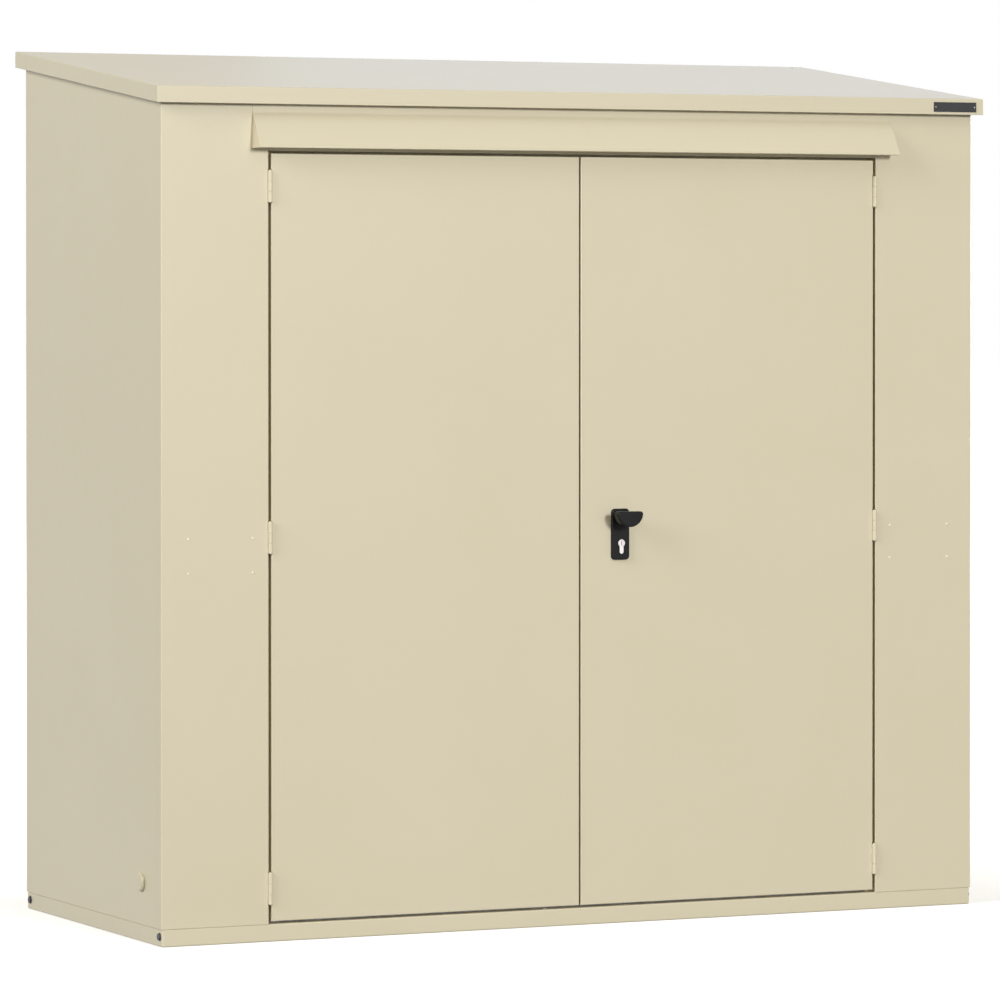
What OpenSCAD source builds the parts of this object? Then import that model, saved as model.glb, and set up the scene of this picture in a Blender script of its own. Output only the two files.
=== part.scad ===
// Metal garden shed, pent roof, double doors.
// Millimetres. Origin on the ground under the middle of the wall footprint,
// +X to the right as seen from the front, the doors face -Y, +Z up.

/* [Walls] */
// Width over the outside of the side walls
wall_w = 2070; // [1990:1:2600]
// Depth over the outside of the front and rear walls
wall_d = 867; // [650:1:1400]
// Thickness of the wall and door sheet
wall_t = 1.2; // [0.8:0.1:2]
// How far a corner panel wraps round its corner
corner_return = 30; // [22:1:45]
// Width of the folded seam flanges
flange_w = 25; // [22:1:34]

/* [Floor] */
// Height of the floor tray, from the ground to the top of the sill
plinth_h = 40; // [34:1:80]
// Thickness of the floor sheet
floor_t = 2; // [1.2:0.1:3]
// How far the side and rear skirts stand in under the walls
plinth_inset = 2; // [1:0.5:8]
// How far the front skirt stands in under the front
sill_inset = 1; // [0.5:0.5:4]
// Width of the folded foot round the bottom of the skirts
skirt_foot = 20; // [12:1:28]
// Spacing of the floor ribs
rib_pitch = 517; // [440:1:600]
// Width of a floor rib
rib_w = 50; // [30:1:70]
// Thickness of the floor ribs
rib_t = 1.5; // [1:0.1:3]
// Width of a floor rib's feet, turned in under it
rib_foot = 12; // [6:1:14]
// Anchor holes from centre to centre along the width
anchor_pitch_x = 1800; // [1500:10:1860]
// Anchor holes from centre to centre along the depth
anchor_pitch_y = 600; // [400:10:700]
// Radius of an anchor hole
anchor_r = 6.5; // [4:0.5:9]

/* [Roof] */
// Height of the top of the roof's front edge
roof_front_z = 1917; // [1880:1:2200]
// Pitch of the roof, rising to the rear
roof_pitch = 6.9; // [3:0.1:12]
// Thickness of the roof sheet
roof_t = 1.2; // [0.8:0.1:2]
// Overhang at the front
roof_front_over = 25; // [20:0.5:60]
// Overhang at each side
roof_side_over = 18.7; // [15:0.1:50]
// Overhang at the rear
roof_back_over = 20; // [15:0.5:60]
// Height of the turned-down lips
roof_lip_h = 38; // [28:1:60]
// Width of the fold under the lips
lip_return = 12; // [6:0.5:13]
// Distance of each roof brace from the middle
brace_x = 345; // [150:5:600]
// Width of a roof brace
brace_w = 40; // [30:1:60]
// Depth of a roof brace
brace_h = 25; // [15:1:40]
// Thickness of a roof brace
brace_t = 1.5; // [1:0.1:3]
// Width of a roof brace's weld flanges
brace_flange = 15; // [10:1:25]

/* [Doorway] */
// Clear width between the jambs
doorway_w = 1552; // [1400:1:1590]
// Height of the header's underside above the ground
doorway_top = 1775; // [1700:1:1790]
// Depth of the doors
door_d = 35; // [33:1:45]
// Gap down the hinge side of each door
hinge_gap = 6.5; // [5.5:0.1:8]
// Gap between the two doors
middle_gap = 4; // [3:0.1:6]
// Gap over and under the doors
end_gap = 6; // [3:0.5:10]
// Gap between a shut door and its stop
stop_gap = 1; // [0.5:0.1:3]
// How far the stops reach behind the doors
stop_lip = 12; // [8:0.5:15]
// Width of the lips round the back of a door
door_lip = 18; // [10:1:22]
// Distance between the two ribs of a door
door_rib_pitch = 240; // [150:5:320]
// Width of a door rib's crown
door_rib_w = 40; // [25:1:60]
// Height of a door rib off the skin
door_rib_h = 22; // [12:1:28]
// Thickness of the rubber strip between the doors
strip_t = 2; // [1:0.1:2.4]
// Depth of the rubber strip
strip_d = 18; // [10:1:22]

/* [Rain hood] */
// Length of the rain hood
hood_w = 1631; // [1600:1:1720]
// Height of the hood's lower edge above the header's underside
hood_drop = 6; // [2:0.5:12]
// Height of the sloping face
hood_h = 80; // [50:1:84]
// How far the lower edge stands out from the wall
hood_out = 46; // [30:1:70]
// Height of the hemmed lower edge
hood_hem = 4; // [2:0.5:8]
// Height of the flat strip above the sloping face
hood_strip = 42; // [36:1:44]

/* [Hinges] */
// Height of a hinge
hinge_h = 71; // [60:1:100]
// Distance of the top and bottom hinges' middles from the door's ends
hinge_in = 73.5; // [60:0.5:200]
// Radius of the knuckles
knuckle_r = 5.5; // [5:0.1:6.5]
// How far the pins stand out in front of the wall face
pin_out = 2; // [1:0.1:4]
// Radius of the hinge pins
pin_r = 2.5; // [2:0.1:3]
// Thickness of the hinge leaves
leaf_t = 2; // [1.5:0.1:2.4]
// Depth of the hinge leaves behind the wall face
leaf_d = 28; // [18:1:31]

/* [Lock] */
// Distance of the lock from the middle of the shed
lock_x = 101.5; // [80:0.5:140]
// Height of the turn handle's axis
spindle_z = 940; // [850:1:1000]
// Distance from the spindle down to the key cylinder
cylinder_drop = 61; // [58:1:63]
// Width of the lock plates
plate_w = 44.5; // [36:0.5:56]
// Height of the lock plates
plate_h = 118; // [116:0.5:140]
// Height of the plate's top above the spindle
plate_above = 18.5; // [15:0.5:30]
// Thickness of the outer plate
plate_t = 8; // [6:0.5:9]
// Thickness of the inner plate
inner_plate_t = 4; // [2:0.5:5]
// Corner radius of the plates
plate_r = 9; // [4:0.5:14]
// Radius of the turn handle's half-round grip
grip_r = 33.25; // [26:0.25:40]
// Thickness of the grip
grip_t = 22; // [14:1:28]
// How far the grip's face stands out from the door
grip_out = 60; // [46:1:75]
// Height of the grip's flat edge above the spindle
grip_above = 13.5; // [10:0.5:18]
// Height of the grip's flat edge above the middle of its round edge
grip_rise = 3; // [0:0.5:6]
// Corner radius of the grip
grip_corner = 6; // [2:0.5:8]
// Side of the square spindle
spindle_s = 8; // [6:0.5:9]
// Module of the pinion
tooth_module = 2; // [1.8:0.1:2.1]
// Teeth on the pinion
pinion_teeth = 12; // [12:2:12]
// Width across the inside T handle
inner_grip_w = 80; // [50:1:100]
// Length of the key cylinder
cylinder_len = 45; // [43:1:60]
// How far the key cylinder stands out of the outer plate
cylinder_out = 3; // [1:0.5:4]

/* [Rods and bolts] */
// Radius of the lock rods
rod_r = 5; // [4:0.25:5.5]
// Distance of each rod from the spindle, sideways
rod_offset = 24; // [22:0.5:26]
// Depth of the rods behind the wall face
rod_in = 15; // [14.5:0.5:16]
// How far a rod's tip stays inside the door at rest
rod_shy = 1; // [0.5:0.5:3]
// Radius of the tower bolts
bolt_r = 6; // [4:0.25:7]
// Distance of the tower bolts from the middle of the shed
bolt_x = 80; // [70:1:130]
// Length of a tower bolt
bolt_len = 190; // [170:5:260]
// Travel of a tower bolt
bolt_travel = 20; // [12:1:24]

/* [Small parts] */
// Width of the blank plate on the roof lip
badge_w = 115; // [60:1:150]
// Height of the blank plate
badge_h = 23; // [12:1:30]
// Thickness of the blank plate
badge_t = 1.5; // [0.8:0.1:3]
// Distance of the blank plate from the roof's end
badge_in = 19.5; // [10:0.5:60]
// Radius of the blanking cap in the left wall
cap_r = 21; // [15:0.5:30]
// How far the cap stands out
cap_out = 8; // [5:0.5:12]
// Distance of the cap behind the front
cap_back = 119; // [80:1:200]
// Height of the cap
cap_z = 135; // [100:1:250]
// Radius of the plinth bolts' heads
base_head_r = 9.5; // [7:0.5:11]
// Height of the plinth bolts
base_bolt_z = 22.5; // [16:0.5:24]
// Distance of the front plinth bolts behind the front
base_bolt_front = 16; // [15:0.5:40]
// Distance of the rear plinth bolts from the rear
base_bolt_back = 22; // [18:0.5:40]
// Spacing across of the rivets in a front panel, as a share of the panel's width
rivet_share = 0.6; // [0.4:0.01:0.65]
// Spacing up and down of the rivets in a front panel
rivet_pitch_z = 77; // [40:1:120]
// Height of the upper rivets
rivet_z = 907; // [850:1:1000]
// Radius of a rivet's head
rivet_r = 3.2; // [2.5:0.1:5]

/* [Hidden] */
$fn = 48;

paint = [0.85, 0.82, 0.71];
galvanised = [0.72, 0.73, 0.74];
zinc = [0.80, 0.80, 0.78];
black = [0.13, 0.13, 0.14];
bright = [0.88, 0.88, 0.90];
rubber = [0.08, 0.08, 0.08];

// Clearances
joint_clear = 0.05;    // a pin or a square bar in its hole
bearing_clear = 0.08;  // the pinion's hubs in the lock case
slide_clear = 0.3;     // a rod in its guide
turn_clear = 0.3;      // a turning neck in a plate
end_clear = 0.5;       // end play
film = 0.05;           // paint between sheets that lie together
knuckle_clear = 0.5;   // round the knuckles, in the sheet and the leaves
cut = 1;               // how far a cut runs past the face it opens

// Main planes
front_y = -wall_d / 2;
back_y = wall_d / 2;
side_x = wall_w / 2;
jamb_x = doorway_w / 2;
seam_y = front_y + corner_return;
rear_seam_x = side_x - corner_return;
jamb_d = door_d + stop_gap + wall_t;
sheet_in = front_y + wall_t;
tray_x = side_x - plinth_inset;
tray_y0 = front_y + sill_inset;
tray_y1 = back_y - plinth_inset;
floor_under = plinth_h - floor_t;

// Roof
roof_x = side_x + roof_side_over;
roof_y0 = front_y - roof_front_over;
roof_y1 = back_y + roof_back_over;
function roof_top(y) = roof_front_z + (y - roof_y0) * tan(roof_pitch);
function roof_inside(y) = roof_top(y) - roof_t / cos(roof_pitch);
function roof_under(y) = roof_inside(y) - film;
brace_y0 = front_y + flange_w + 1;
brace_y1 = back_y - flange_w - 1;
stud_in = flange_w / 2;
stud_r = 3;
stud_len = 14;
tab_drop = wall_t + film;

// Doors
door_z0 = plinth_h + end_gap;
door_z1 = doorway_top - end_gap;
door_edge = jamb_x - hinge_gap;
door_meet = middle_gap / 2;
door_back = front_y + door_d;
hinge_x = jamb_x - hinge_gap / 2;
hinge_y = front_y - pin_out;
hinge_pitch = (door_z1 - door_z0) / 2 - hinge_in;
hinge_zs = [for (i = [0:2]) door_z0 + hinge_in + i * hinge_pitch];
knuckle_h = hinge_h / 3;
pin_head_r = 3.4;
pin_head_h = 1.5;
door_rib_flange = 15;
door_mid = (door_edge + door_meet) / 2;
strip_front = 12;

// Rain hood
hood_z0 = doorway_top + hood_drop;
hood_z1 = hood_z0 + hood_h;
hood_x = hood_w / 2;
hood_screw_in = 76;
hood_screw_pitch = (doorway_w - 2 * hood_screw_in) / 5;
hood_screw_down = 11;
hood_screw_z = hood_z1 + hood_strip - hood_screw_down;

// Lock
cylinder_z = spindle_z - cylinder_drop;
spindle_y0 = front_y - grip_out + grip_t;
plate_z1 = spindle_z + plate_above;
plate_z0 = plate_z1 - plate_h;
case_t = 1.5;
case_half = 33;
case_above = 52;
case_top = spindle_z + case_above;
case_d = 25.5;
case_bottom = plate_z0;
case_back = front_y + case_d;
inner_hub_l = 18;
spindle_y1 = case_back + inner_plate_t + inner_hub_l;
rod_y = front_y + rod_in;
rod_drive = PI / 2 * tooth_module * pinion_teeth / 2;
pitch_r = tooth_module * pinion_teeth / 2;
pressure_angle = 25;
addendum = 0.8 * tooth_module;
dedendum = tooth_module;
backlash = 0.6;
base_r = pitch_r * cos(pressure_angle);
rack_pitch = PI * tooth_module;
pinion_t = 10;
hub_r = 9;
neck_r = 8;
rack_t = 13;
rack_wall = 1;
rack_low = 28;
rack_high = rod_drive + 12;
rod_socket = 15;
profile_r = 8.5;
profile_w = 10;
profile_h = 33;
profile_clear = 0.25;
plug_r = 6.5;
cam_r = 14.5;
cam_t = 9;
cam_hub_r = 8;
cylinder_y0 = front_y - plate_t - cylinder_out;
cylinder_y1 = cylinder_y0 + cylinder_len;
cam_y = (cylinder_y0 + cylinder_y1) / 2;
cylinder_screw_down = 20;
cylinder_screw_z = cylinder_z - cylinder_screw_down;
plate_screw_r = 2.5;
plate_screw_up = 28;
plate_screw_down = 31;
plate_screw_zs = [cylinder_z + plate_screw_up, cylinder_z - plate_screw_down];
plate_screw_clear = 0.3;
guide_w = 26;
guide_h = 20;
guide_wall = 4;
guide_top_down = 70;
guide_mid_up = 380;

// Tower bolts, set out for the top one
bolt_z1 = door_z1 - rod_shy;
bolt_z0 = bolt_z1 - bolt_len;
bolt_lever_r = 4;
bolt_lever_z = bolt_z0 + bolt_len / 2 - bolt_travel / 2;
housing_in = 14;
housing_z0 = bolt_z0 + housing_in;
housing_z1 = bolt_z1 - housing_in;
housing_wall = 7;

// Fasteners
m6_r = 3;
m6_head = 5.77;
m6_head_h = 4;
m6_hole = 3.3;
nut_h = 5;
seam_bolt_low = 200;
seam_bolt_pitch = 450;
seam_bolts = [for (i = [0:3]) seam_bolt_low + i * seam_bolt_pitch];
seam_bolt_in = flange_w - 11;
header_bolt_y = front_y + seam_bolt_in;
header_bolt_up = 45;
header_bolt_pitch = 50;
header_bolts = [for (i = [0:1]) doorway_top + header_bolt_up + i * header_bolt_pitch];
floor_screw_len = 12;
base_r_bolt = 4;
base_head_h = 4.5;
bracket_t = 2;
bracket_l = 55;
base_nut_h = 6;
base_nut_x = tray_x - floor_t - bracket_t;
rivet_pitch_x = rivet_share * (side_x - jamb_x);
rivet_edge_share = 0.25;
rivet_x0 = side_x - rivet_edge_share * (side_x - jamb_x) - rivet_pitch_x;
rivet_spots = [for (i = [0:1], j = [0:1]) [rivet_x0 + i * rivet_pitch_x, rivet_z - j * rivet_pitch_z]];
rivet_shank = 2.4;
stiffener_t = 2;
stiffener_edge = 15;
strike_t = 3;
strike_clear = 0.8;
badge_x = roof_x - badge_in - badge_w / 2;
badge_z = roof_front_z - roof_lip_h / 2 - 1;
badge_rivet_r = 1.5;
badge_rivet_in = 5;

// Helpers
module block(x0, x1, y0, y1, z0, z1) {
    translate([x0, y0, z0]) cube([x1 - x0, y1 - y0, z1 - z0]);
}

// A flat shape drawn in Y and Z, run along X
module along_x(x0, x1) {
    translate([x0, 0, 0]) rotate([90, 0, 90]) linear_extrude(x1 - x0) children();
}

// A flat shape drawn in X and Z, run along Y
module along_y(y0, y1) {
    translate([0, y1, 0]) rotate([90, 0, 0]) linear_extrude(y1 - y0) children();
}

module bar_x(y, z, r, x0, x1) {
    translate([x0, y, z]) rotate([0, 90, 0]) cylinder(r = r, h = x1 - x0);
}

module bar_y(x, z, r, y0, y1) {
    translate([x, y0, z]) rotate([-90, 0, 0]) cylinder(r = r, h = y1 - y0);
}

module bar_z(x, y, r, z0, z1) {
    translate([x, y, z0]) cylinder(r = r, h = z1 - z0);
}

module both_sides() {
    children();
    mirror([1, 0, 0]) children();
}

module left_side() {
    mirror([1, 0, 0]) children();
}

// An upright sheet whose top edge follows the underside of the roof
module upright(x0, x1, y0, y1, z0) {
    along_x(x0, x1) polygon([[y0, z0], [y1, z0], [y1, roof_under(y1)], [y0, roof_under(y0)]]);
}

// A slab parallel to the roof, between two depths below its underside
module slope_slab(x0, x1, y0, y1, drop0, drop1) {
    along_x(x0, x1) polygon([
        [y0, roof_under(y0) - drop1],
        [y1, roof_under(y1) - drop1],
        [y1, roof_under(y1) - drop0],
        [y0, roof_under(y0) - drop0]
    ]);
}

// Stands its children square to the roof, at a depth below its underside
module square_to_roof(x, y, drop) {
    translate([x, y, roof_under(y) - drop]) rotate([roof_pitch, 0, 0]) children();
}

// Hexagon bolt with its head below z = 0 and its shank above
module hex_bolt(len) {
    translate([0, 0, -m6_head_h]) cylinder(r = m6_head, h = m6_head_h, $fn = 6);
    cylinder(r = m6_r, h = len);
}

module hex_nut(h) {
    difference() {
        cylinder(r = m6_head, h = h, $fn = 6);
        translate([0, 0, -cut]) cylinder(r = m6_r + joint_clear, h = h + 2 * cut);
    }
}

// Where the seam bolts go: children stand along the bolt, from the middle of the two flanges
module at_seam_bolts() {
    for (z = seam_bolts) {
        both_sides() translate([side_x - seam_bolt_in, seam_y, z]) rotate([-90, 0, 0]) children();
        both_sides() translate([rear_seam_x, back_y - seam_bolt_in, z]) rotate([0, 90, 0]) children();
        translate([0, back_y - seam_bolt_in, z]) rotate([0, 90, 0]) children();
    }
    for (z = header_bolts) {
        both_sides() translate([jamb_x, header_bolt_y, z]) rotate([0, 90, 0]) children();
    }
}

module seam_bolt_holes() {
    at_seam_bolts() translate([0, 0, -wall_t - cut]) cylinder(r = m6_hole, h = 2 * wall_t + 2 * cut);
}

// Where the floor screws go, one side of the shed
module at_floor_screws() {
    screw_in = flange_w / 2;
    both_sides() {
        for (y = [-wall_d / 4, wall_d / 4]) translate([side_x - screw_in, y, plinth_h]) children();
        for (x = [wall_w / 6, wall_w / 3]) translate([x, back_y - screw_in, plinth_h]) children();
        translate([(jamb_x + side_x) / 2, front_y + screw_in, plinth_h]) children();
    }
}

module floor_screw_holes() {
    at_floor_screws() translate([0, 0, -cut]) cylinder(r = m6_hole, h = wall_t + 2 * cut);
}

module hinge_notches() {
    for (z = hinge_zs) {
        bar_z(hinge_x, hinge_y, knuckle_r + knuckle_clear, z - hinge_h / 2 - pin_head_h - cut,
            z + hinge_h / 2 + pin_head_h + cut);
    }
}

module at_rods_top() {
    translate([lock_x - rod_offset, rod_y, 0]) children();
}

module at_rods_bottom() {
    translate([lock_x + rod_offset, rod_y, 0]) children();
}

module at_tower_bolts() {
    translate([-bolt_x, rod_y, 0]) children();
}

// Floor
module floor_tray() {
    color(paint) difference() {
        block(-tray_x, tray_x, tray_y0, tray_y1, 0, plinth_h);
        block(-tray_x + floor_t, tray_x - floor_t, tray_y0 + floor_t, tray_y1 - floor_t, floor_t, floor_under);
        block(-tray_x + skirt_foot, tray_x - skirt_foot, tray_y0 + skirt_foot, tray_y1 - skirt_foot,
            -cut, floor_t + cut);
        at_floor_screws() translate([0, 0, -floor_t - cut]) cylinder(r = m6_r + joint_clear, h = floor_t + 2 * cut);
        for (x = [-1, 1], y = [-1, 1]) {
            bar_z(x * anchor_pitch_x / 2, y * anchor_pitch_y / 2, anchor_r, floor_under - cut, plinth_h + cut);
        }
        at_rods_bottom() bar_z(0, 0, rod_r + strike_clear, floor_under - cut, plinth_h + cut);
        at_tower_bolts() bar_z(0, 0, bolt_r + strike_clear, floor_under - cut, plinth_h + cut);
        both_sides() for (y = [front_y + base_bolt_front, back_y - base_bolt_back]) {
            bar_x(y, base_bolt_z, base_r_bolt + turn_clear, tray_x - floor_t - cut, tray_x + cut);
        }
    }
}

module floor_ribs() {
    y0 = tray_y0 + skirt_foot + end_clear;
    y1 = tray_y1 - skirt_foot - end_clear;
    half = rib_w / 2;
    color(galvanised) for (i = [-1:1]) {
        translate([i * rib_pitch, 0, 0]) {
            block(-half, half, y0, y1, floor_under - rib_t, floor_under);
            both_sides() block(half - rib_t, half, y0, y1, 0, floor_under);
            both_sides() block(half - rib_foot, half, y0, y1, 0, rib_t);
        }
    }
}

module base_brackets() {
    x = tray_x - floor_t;
    hole_r = base_r_bolt + turn_clear;
    color(galvanised) both_sides() {
        difference() {
            union() {
                block(x - bracket_t, x, tray_y0 + floor_t, tray_y0 + floor_t + bracket_l, floor_t, floor_under);
                block(x - bracket_l, x, tray_y0 + floor_t, tray_y0 + floor_t + bracket_t, floor_t, floor_under);
            }
            bar_x(front_y + base_bolt_front, base_bolt_z, hole_r, x - bracket_t - cut, x + cut);
        }
        difference() {
            union() {
                block(x - bracket_t, x, tray_y1 - floor_t - bracket_l, tray_y1 - floor_t, floor_t, floor_under);
                block(x - bracket_l, x, tray_y1 - floor_t - bracket_t, tray_y1 - floor_t, floor_t, floor_under);
            }
            bar_x(back_y - base_bolt_back, base_bolt_z, hole_r, x - bracket_t - cut, x + cut);
        }
    }
}

module base_bolts() {
    washer_h = 1.2;
    color(black) both_sides() for (y = [front_y + base_bolt_front, back_y - base_bolt_back]) {
        bar_x(y, base_bolt_z, base_head_r, tray_x, tray_x + washer_h);
        translate([tray_x, y, base_bolt_z]) rotate([0, 90, 0])
            cylinder(r = base_head_r - 1.5, h = base_head_h, $fn = 6);
        bar_x(y, base_bolt_z, base_r_bolt, base_nut_x - base_nut_h - 1, tray_x);
    }
}

module base_nuts() {
    color(zinc) both_sides() for (y = [front_y + base_bolt_front, back_y - base_bolt_back]) {
        difference() {
            translate([base_nut_x - base_nut_h, y, base_bolt_z]) rotate([0, 90, 0])
                cylinder(r = 7.5, h = base_nut_h, $fn = 6);
            bar_x(y, base_bolt_z, base_r_bolt + joint_clear, base_nut_x - base_nut_h - cut, base_nut_x + cut);
        }
    }
}

module floor_screws() {
    head_h = 3.5;
    color(zinc) at_floor_screws() {
        translate([0, 0, wall_t]) cylinder(r = m6_head, h = head_h, $fn = 6);
        translate([0, 0, wall_t - floor_screw_len]) cylinder(r = m6_r, h = floor_screw_len);
    }
}

// Door stop along the floor
module threshold() {
    half = jamb_x - stop_lip - end_clear;
    y = front_y + jamb_d;
    color(galvanised) {
        block(-half, half, y - wall_t, y, plinth_h, plinth_h + stop_lip);
        block(-half, half, y - wall_t, y + flange_w, plinth_h, plinth_h + wall_t);
    }
}

// Walls, modelled for the right-hand side
module side_panel() {
    difference() {
        union() {
            upright(side_x - wall_t, side_x, seam_y, back_y, plinth_h);
            upright(side_x - flange_w, side_x, seam_y, seam_y + wall_t, plinth_h);
            upright(rear_seam_x, side_x, back_y - wall_t, back_y, plinth_h);
            upright(rear_seam_x, rear_seam_x + wall_t, back_y - flange_w, back_y, plinth_h);
            block(side_x - flange_w, side_x, seam_y, back_y, plinth_h, plinth_h + wall_t);
            slope_slab(side_x - flange_w, side_x, seam_y, back_y, 0, wall_t);
        }
        seam_bolt_holes();
        floor_screw_holes();
    }
}

module rear_panel() {
    difference() {
        union() {
            upright(0, rear_seam_x, back_y - wall_t, back_y, plinth_h);
            upright(rear_seam_x - wall_t, rear_seam_x, back_y - flange_w, back_y, plinth_h);
            upright(0, wall_t, back_y - flange_w, back_y, plinth_h);
            block(0, rear_seam_x, back_y - flange_w, back_y, plinth_h, plinth_h + wall_t);
            slope_slab(0, rear_seam_x, back_y - flange_w, back_y, 0, wall_t);
        }
        seam_bolt_holes();
        floor_screw_holes();
    }
}

module front_panel() {
    difference() {
        union() {
            upright(jamb_x, side_x, front_y, sheet_in, plinth_h);
            upright(jamb_x, jamb_x + wall_t, front_y, front_y + jamb_d, plinth_h);
            block(jamb_x - stop_lip, jamb_x + wall_t, front_y + jamb_d - wall_t, front_y + jamb_d,
                plinth_h, doorway_top);
            upright(side_x - wall_t, side_x, front_y, seam_y, plinth_h);
            upright(side_x - flange_w, side_x, seam_y - wall_t, seam_y, plinth_h);
            block(jamb_x, side_x, front_y, front_y + flange_w, plinth_h, plinth_h + wall_t);
            slope_slab(jamb_x, side_x, front_y, front_y + flange_w, 0, wall_t);
        }
        seam_bolt_holes();
        floor_screw_holes();
        hinge_notches();
        for (p = rivet_spots) bar_y(p[0], p[1], rivet_shank + joint_clear, front_y - cut, sheet_in + cut);
    }
}

module side_panel_left() {
    color(paint) difference() {
        left_side() side_panel();
        bar_x(front_y + cap_back, cap_z, cap_r - 4 + joint_clear, -side_x - cut, -side_x + wall_t + cut);
    }
}

module side_panel_right() {
    color(paint) side_panel();
}

module rear_panel_left() {
    color(paint) left_side() rear_panel();
}

module rear_panel_right() {
    color(paint) rear_panel();
}

module front_panel_left() {
    color(paint) left_side() front_panel();
}

module front_panel_right() {
    color(paint) front_panel();
}

// Folded channel over the doors
module header_beam() {
    web_h = 30;
    back = front_y + jamb_d;
    lip_x = jamb_x - stop_lip;
    color(paint) difference() {
        union() {
            upright(-jamb_x, jamb_x, front_y, sheet_in, doorway_top);
            block(-jamb_x, jamb_x, front_y, back, doorway_top, doorway_top + wall_t);
            block(-lip_x, lip_x, back - wall_t, back, doorway_top - stop_lip, doorway_top + wall_t);
            block(-jamb_x, jamb_x, back - wall_t, back, doorway_top, doorway_top + web_h);
            slope_slab(-jamb_x, jamb_x, front_y, front_y + flange_w, 0, wall_t);
            both_sides() upright(jamb_x - wall_t, jamb_x, front_y, front_y + flange_w, doorway_top);
        }
        seam_bolt_holes();
        at_rods_top() bar_z(0, 0, rod_r + strike_clear, doorway_top - cut, doorway_top + wall_t + cut);
        at_tower_bolts() bar_z(0, 0, bolt_r + strike_clear, doorway_top - cut, doorway_top + wall_t + cut);
        hood_screw_holes(wall_t);
    }
}

// Rain hood over the doors: flat strip, sloping face, flat underside and closed ends
module hood_screw_holes(depth) {
    for (i = [-2.5:2.5]) bar_y(i * hood_screw_pitch, hood_screw_z, 2.5 + joint_clear, front_y - 2 * cut - wall_t,
        front_y + depth + cut);
}

module rain_hood() {
    face_y = front_y - wall_t;
    run = hood_out - wall_t;
    rise = hood_h - hood_hem;
    across = wall_t * norm([run, rise]) / rise;
    slope = run / rise;
    inner_z0 = hood_z0 + wall_t;
    inner_low = front_y - hood_out + across;
    color(paint) difference() {
        along_x(-hood_x, hood_x) polygon([
            [front_y, hood_z0],
            [front_y - hood_out, hood_z0],
            [front_y - hood_out, hood_z0 + hood_hem],
            [face_y, hood_z1],
            [face_y, hood_z1 + hood_strip],
            [front_y, hood_z1 + hood_strip]
        ]);
        along_x(-hood_x + wall_t, hood_x - wall_t) polygon([
            [front_y + cut, inner_z0],
            [inner_low, inner_z0],
            [inner_low, hood_z0 + hood_hem],
            [front_y, hood_z0 + hood_hem + (front_y - inner_low) / slope],
            [front_y + cut, hood_z0 + hood_hem + (front_y - inner_low) / slope]
        ]);
        hood_screw_holes(wall_t);
    }
}

module hood_screws() {
    head_r = 4.5;
    head_h = 2.5;
    face_y = front_y - wall_t;
    color(zinc) for (i = [-2.5:2.5]) {
        bar_y(i * hood_screw_pitch, hood_screw_z, head_r, face_y - head_h, face_y);
        bar_y(i * hood_screw_pitch, hood_screw_z, 2.5, face_y, sheet_in + 6);
    }
}

module panel_bolts() {
    color(zinc) at_seam_bolts() translate([0, 0, -wall_t]) hex_bolt(2 * wall_t + 8);
}

module panel_nuts() {
    color(zinc) at_seam_bolts() translate([0, 0, wall_t]) hex_nut(nut_h);
}

// Roof
module roof_panel() {
    x = roof_x;
    ya = roof_y0 + roof_t;
    yb = roof_y1 - roof_t;
    yc = roof_y0 + lip_return;
    yd = roof_y1 - lip_return;
    fold = roof_lip_h - roof_t;
    color(paint) difference() {
        along_x(-x, x) polygon([
            [roof_y0, roof_top(roof_y0) - roof_lip_h],
            [roof_y1, roof_top(roof_y1) - roof_lip_h],
            [roof_y1, roof_top(roof_y1)],
            [roof_y0, roof_top(roof_y0)]
        ]);
        along_x(-x + roof_t, x - roof_t) polygon([
            [ya, roof_top(ya) - fold],
            [yb, roof_top(yb) - fold],
            [yb, roof_inside(yb)],
            [ya, roof_inside(ya)]
        ]);
        along_x(-x + lip_return, x - lip_return) polygon([
            [yc, roof_top(yc) - roof_lip_h - cut],
            [yd, roof_top(yd) - roof_lip_h - cut],
            [yd, roof_top(yd) - fold + cut],
            [yc, roof_top(yc) - fold + cut]
        ]);
        for (i = [-1, 1]) {
            bar_y(badge_x + i * (badge_w / 2 - badge_rivet_in), badge_z, badge_rivet_r + joint_clear,
                roof_y0 - cut, ya + cut);
        }
    }
}

module roof_brace() {
    half = brace_w / 2;
    slope_slab(-half, half, brace_y0, brace_y1, brace_h - brace_t, brace_h);
    both_sides() {
        slope_slab(half - brace_t, half, brace_y0, brace_y1, 0, brace_h);
        slope_slab(half - brace_t, half + brace_flange, brace_y0, brace_y1, 0, brace_t);
    }
    slope_slab(-half, half, sheet_in + end_clear, brace_y0 + 10, tab_drop, tab_drop + brace_t);
    slope_slab(-half, half, brace_y1 - 10, back_y - wall_t - end_clear, tab_drop, tab_drop + brace_t);
}

module at_roof_studs() {
    for (i = [-1, 1], y = [front_y + stud_in, back_y - stud_in]) square_to_roof(i * brace_x, y, tab_drop) children();
}

module roof_braces() {
    color(galvanised) difference() {
        both_sides() translate([brace_x, 0, 0]) roof_brace();
        at_roof_studs() translate([0, 0, -brace_t - cut]) cylinder(r = stud_r + turn_clear, h = brace_t + 2 * cut);
    }
}

module roof_studs() {
    color(zinc) at_roof_studs() translate([0, 0, -stud_len]) cylinder(r = stud_r, h = stud_len);
}

module roof_nuts() {
    color(zinc) at_roof_studs() translate([0, 0, -brace_t - nut_h]) hex_nut(nut_h);
}

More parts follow.
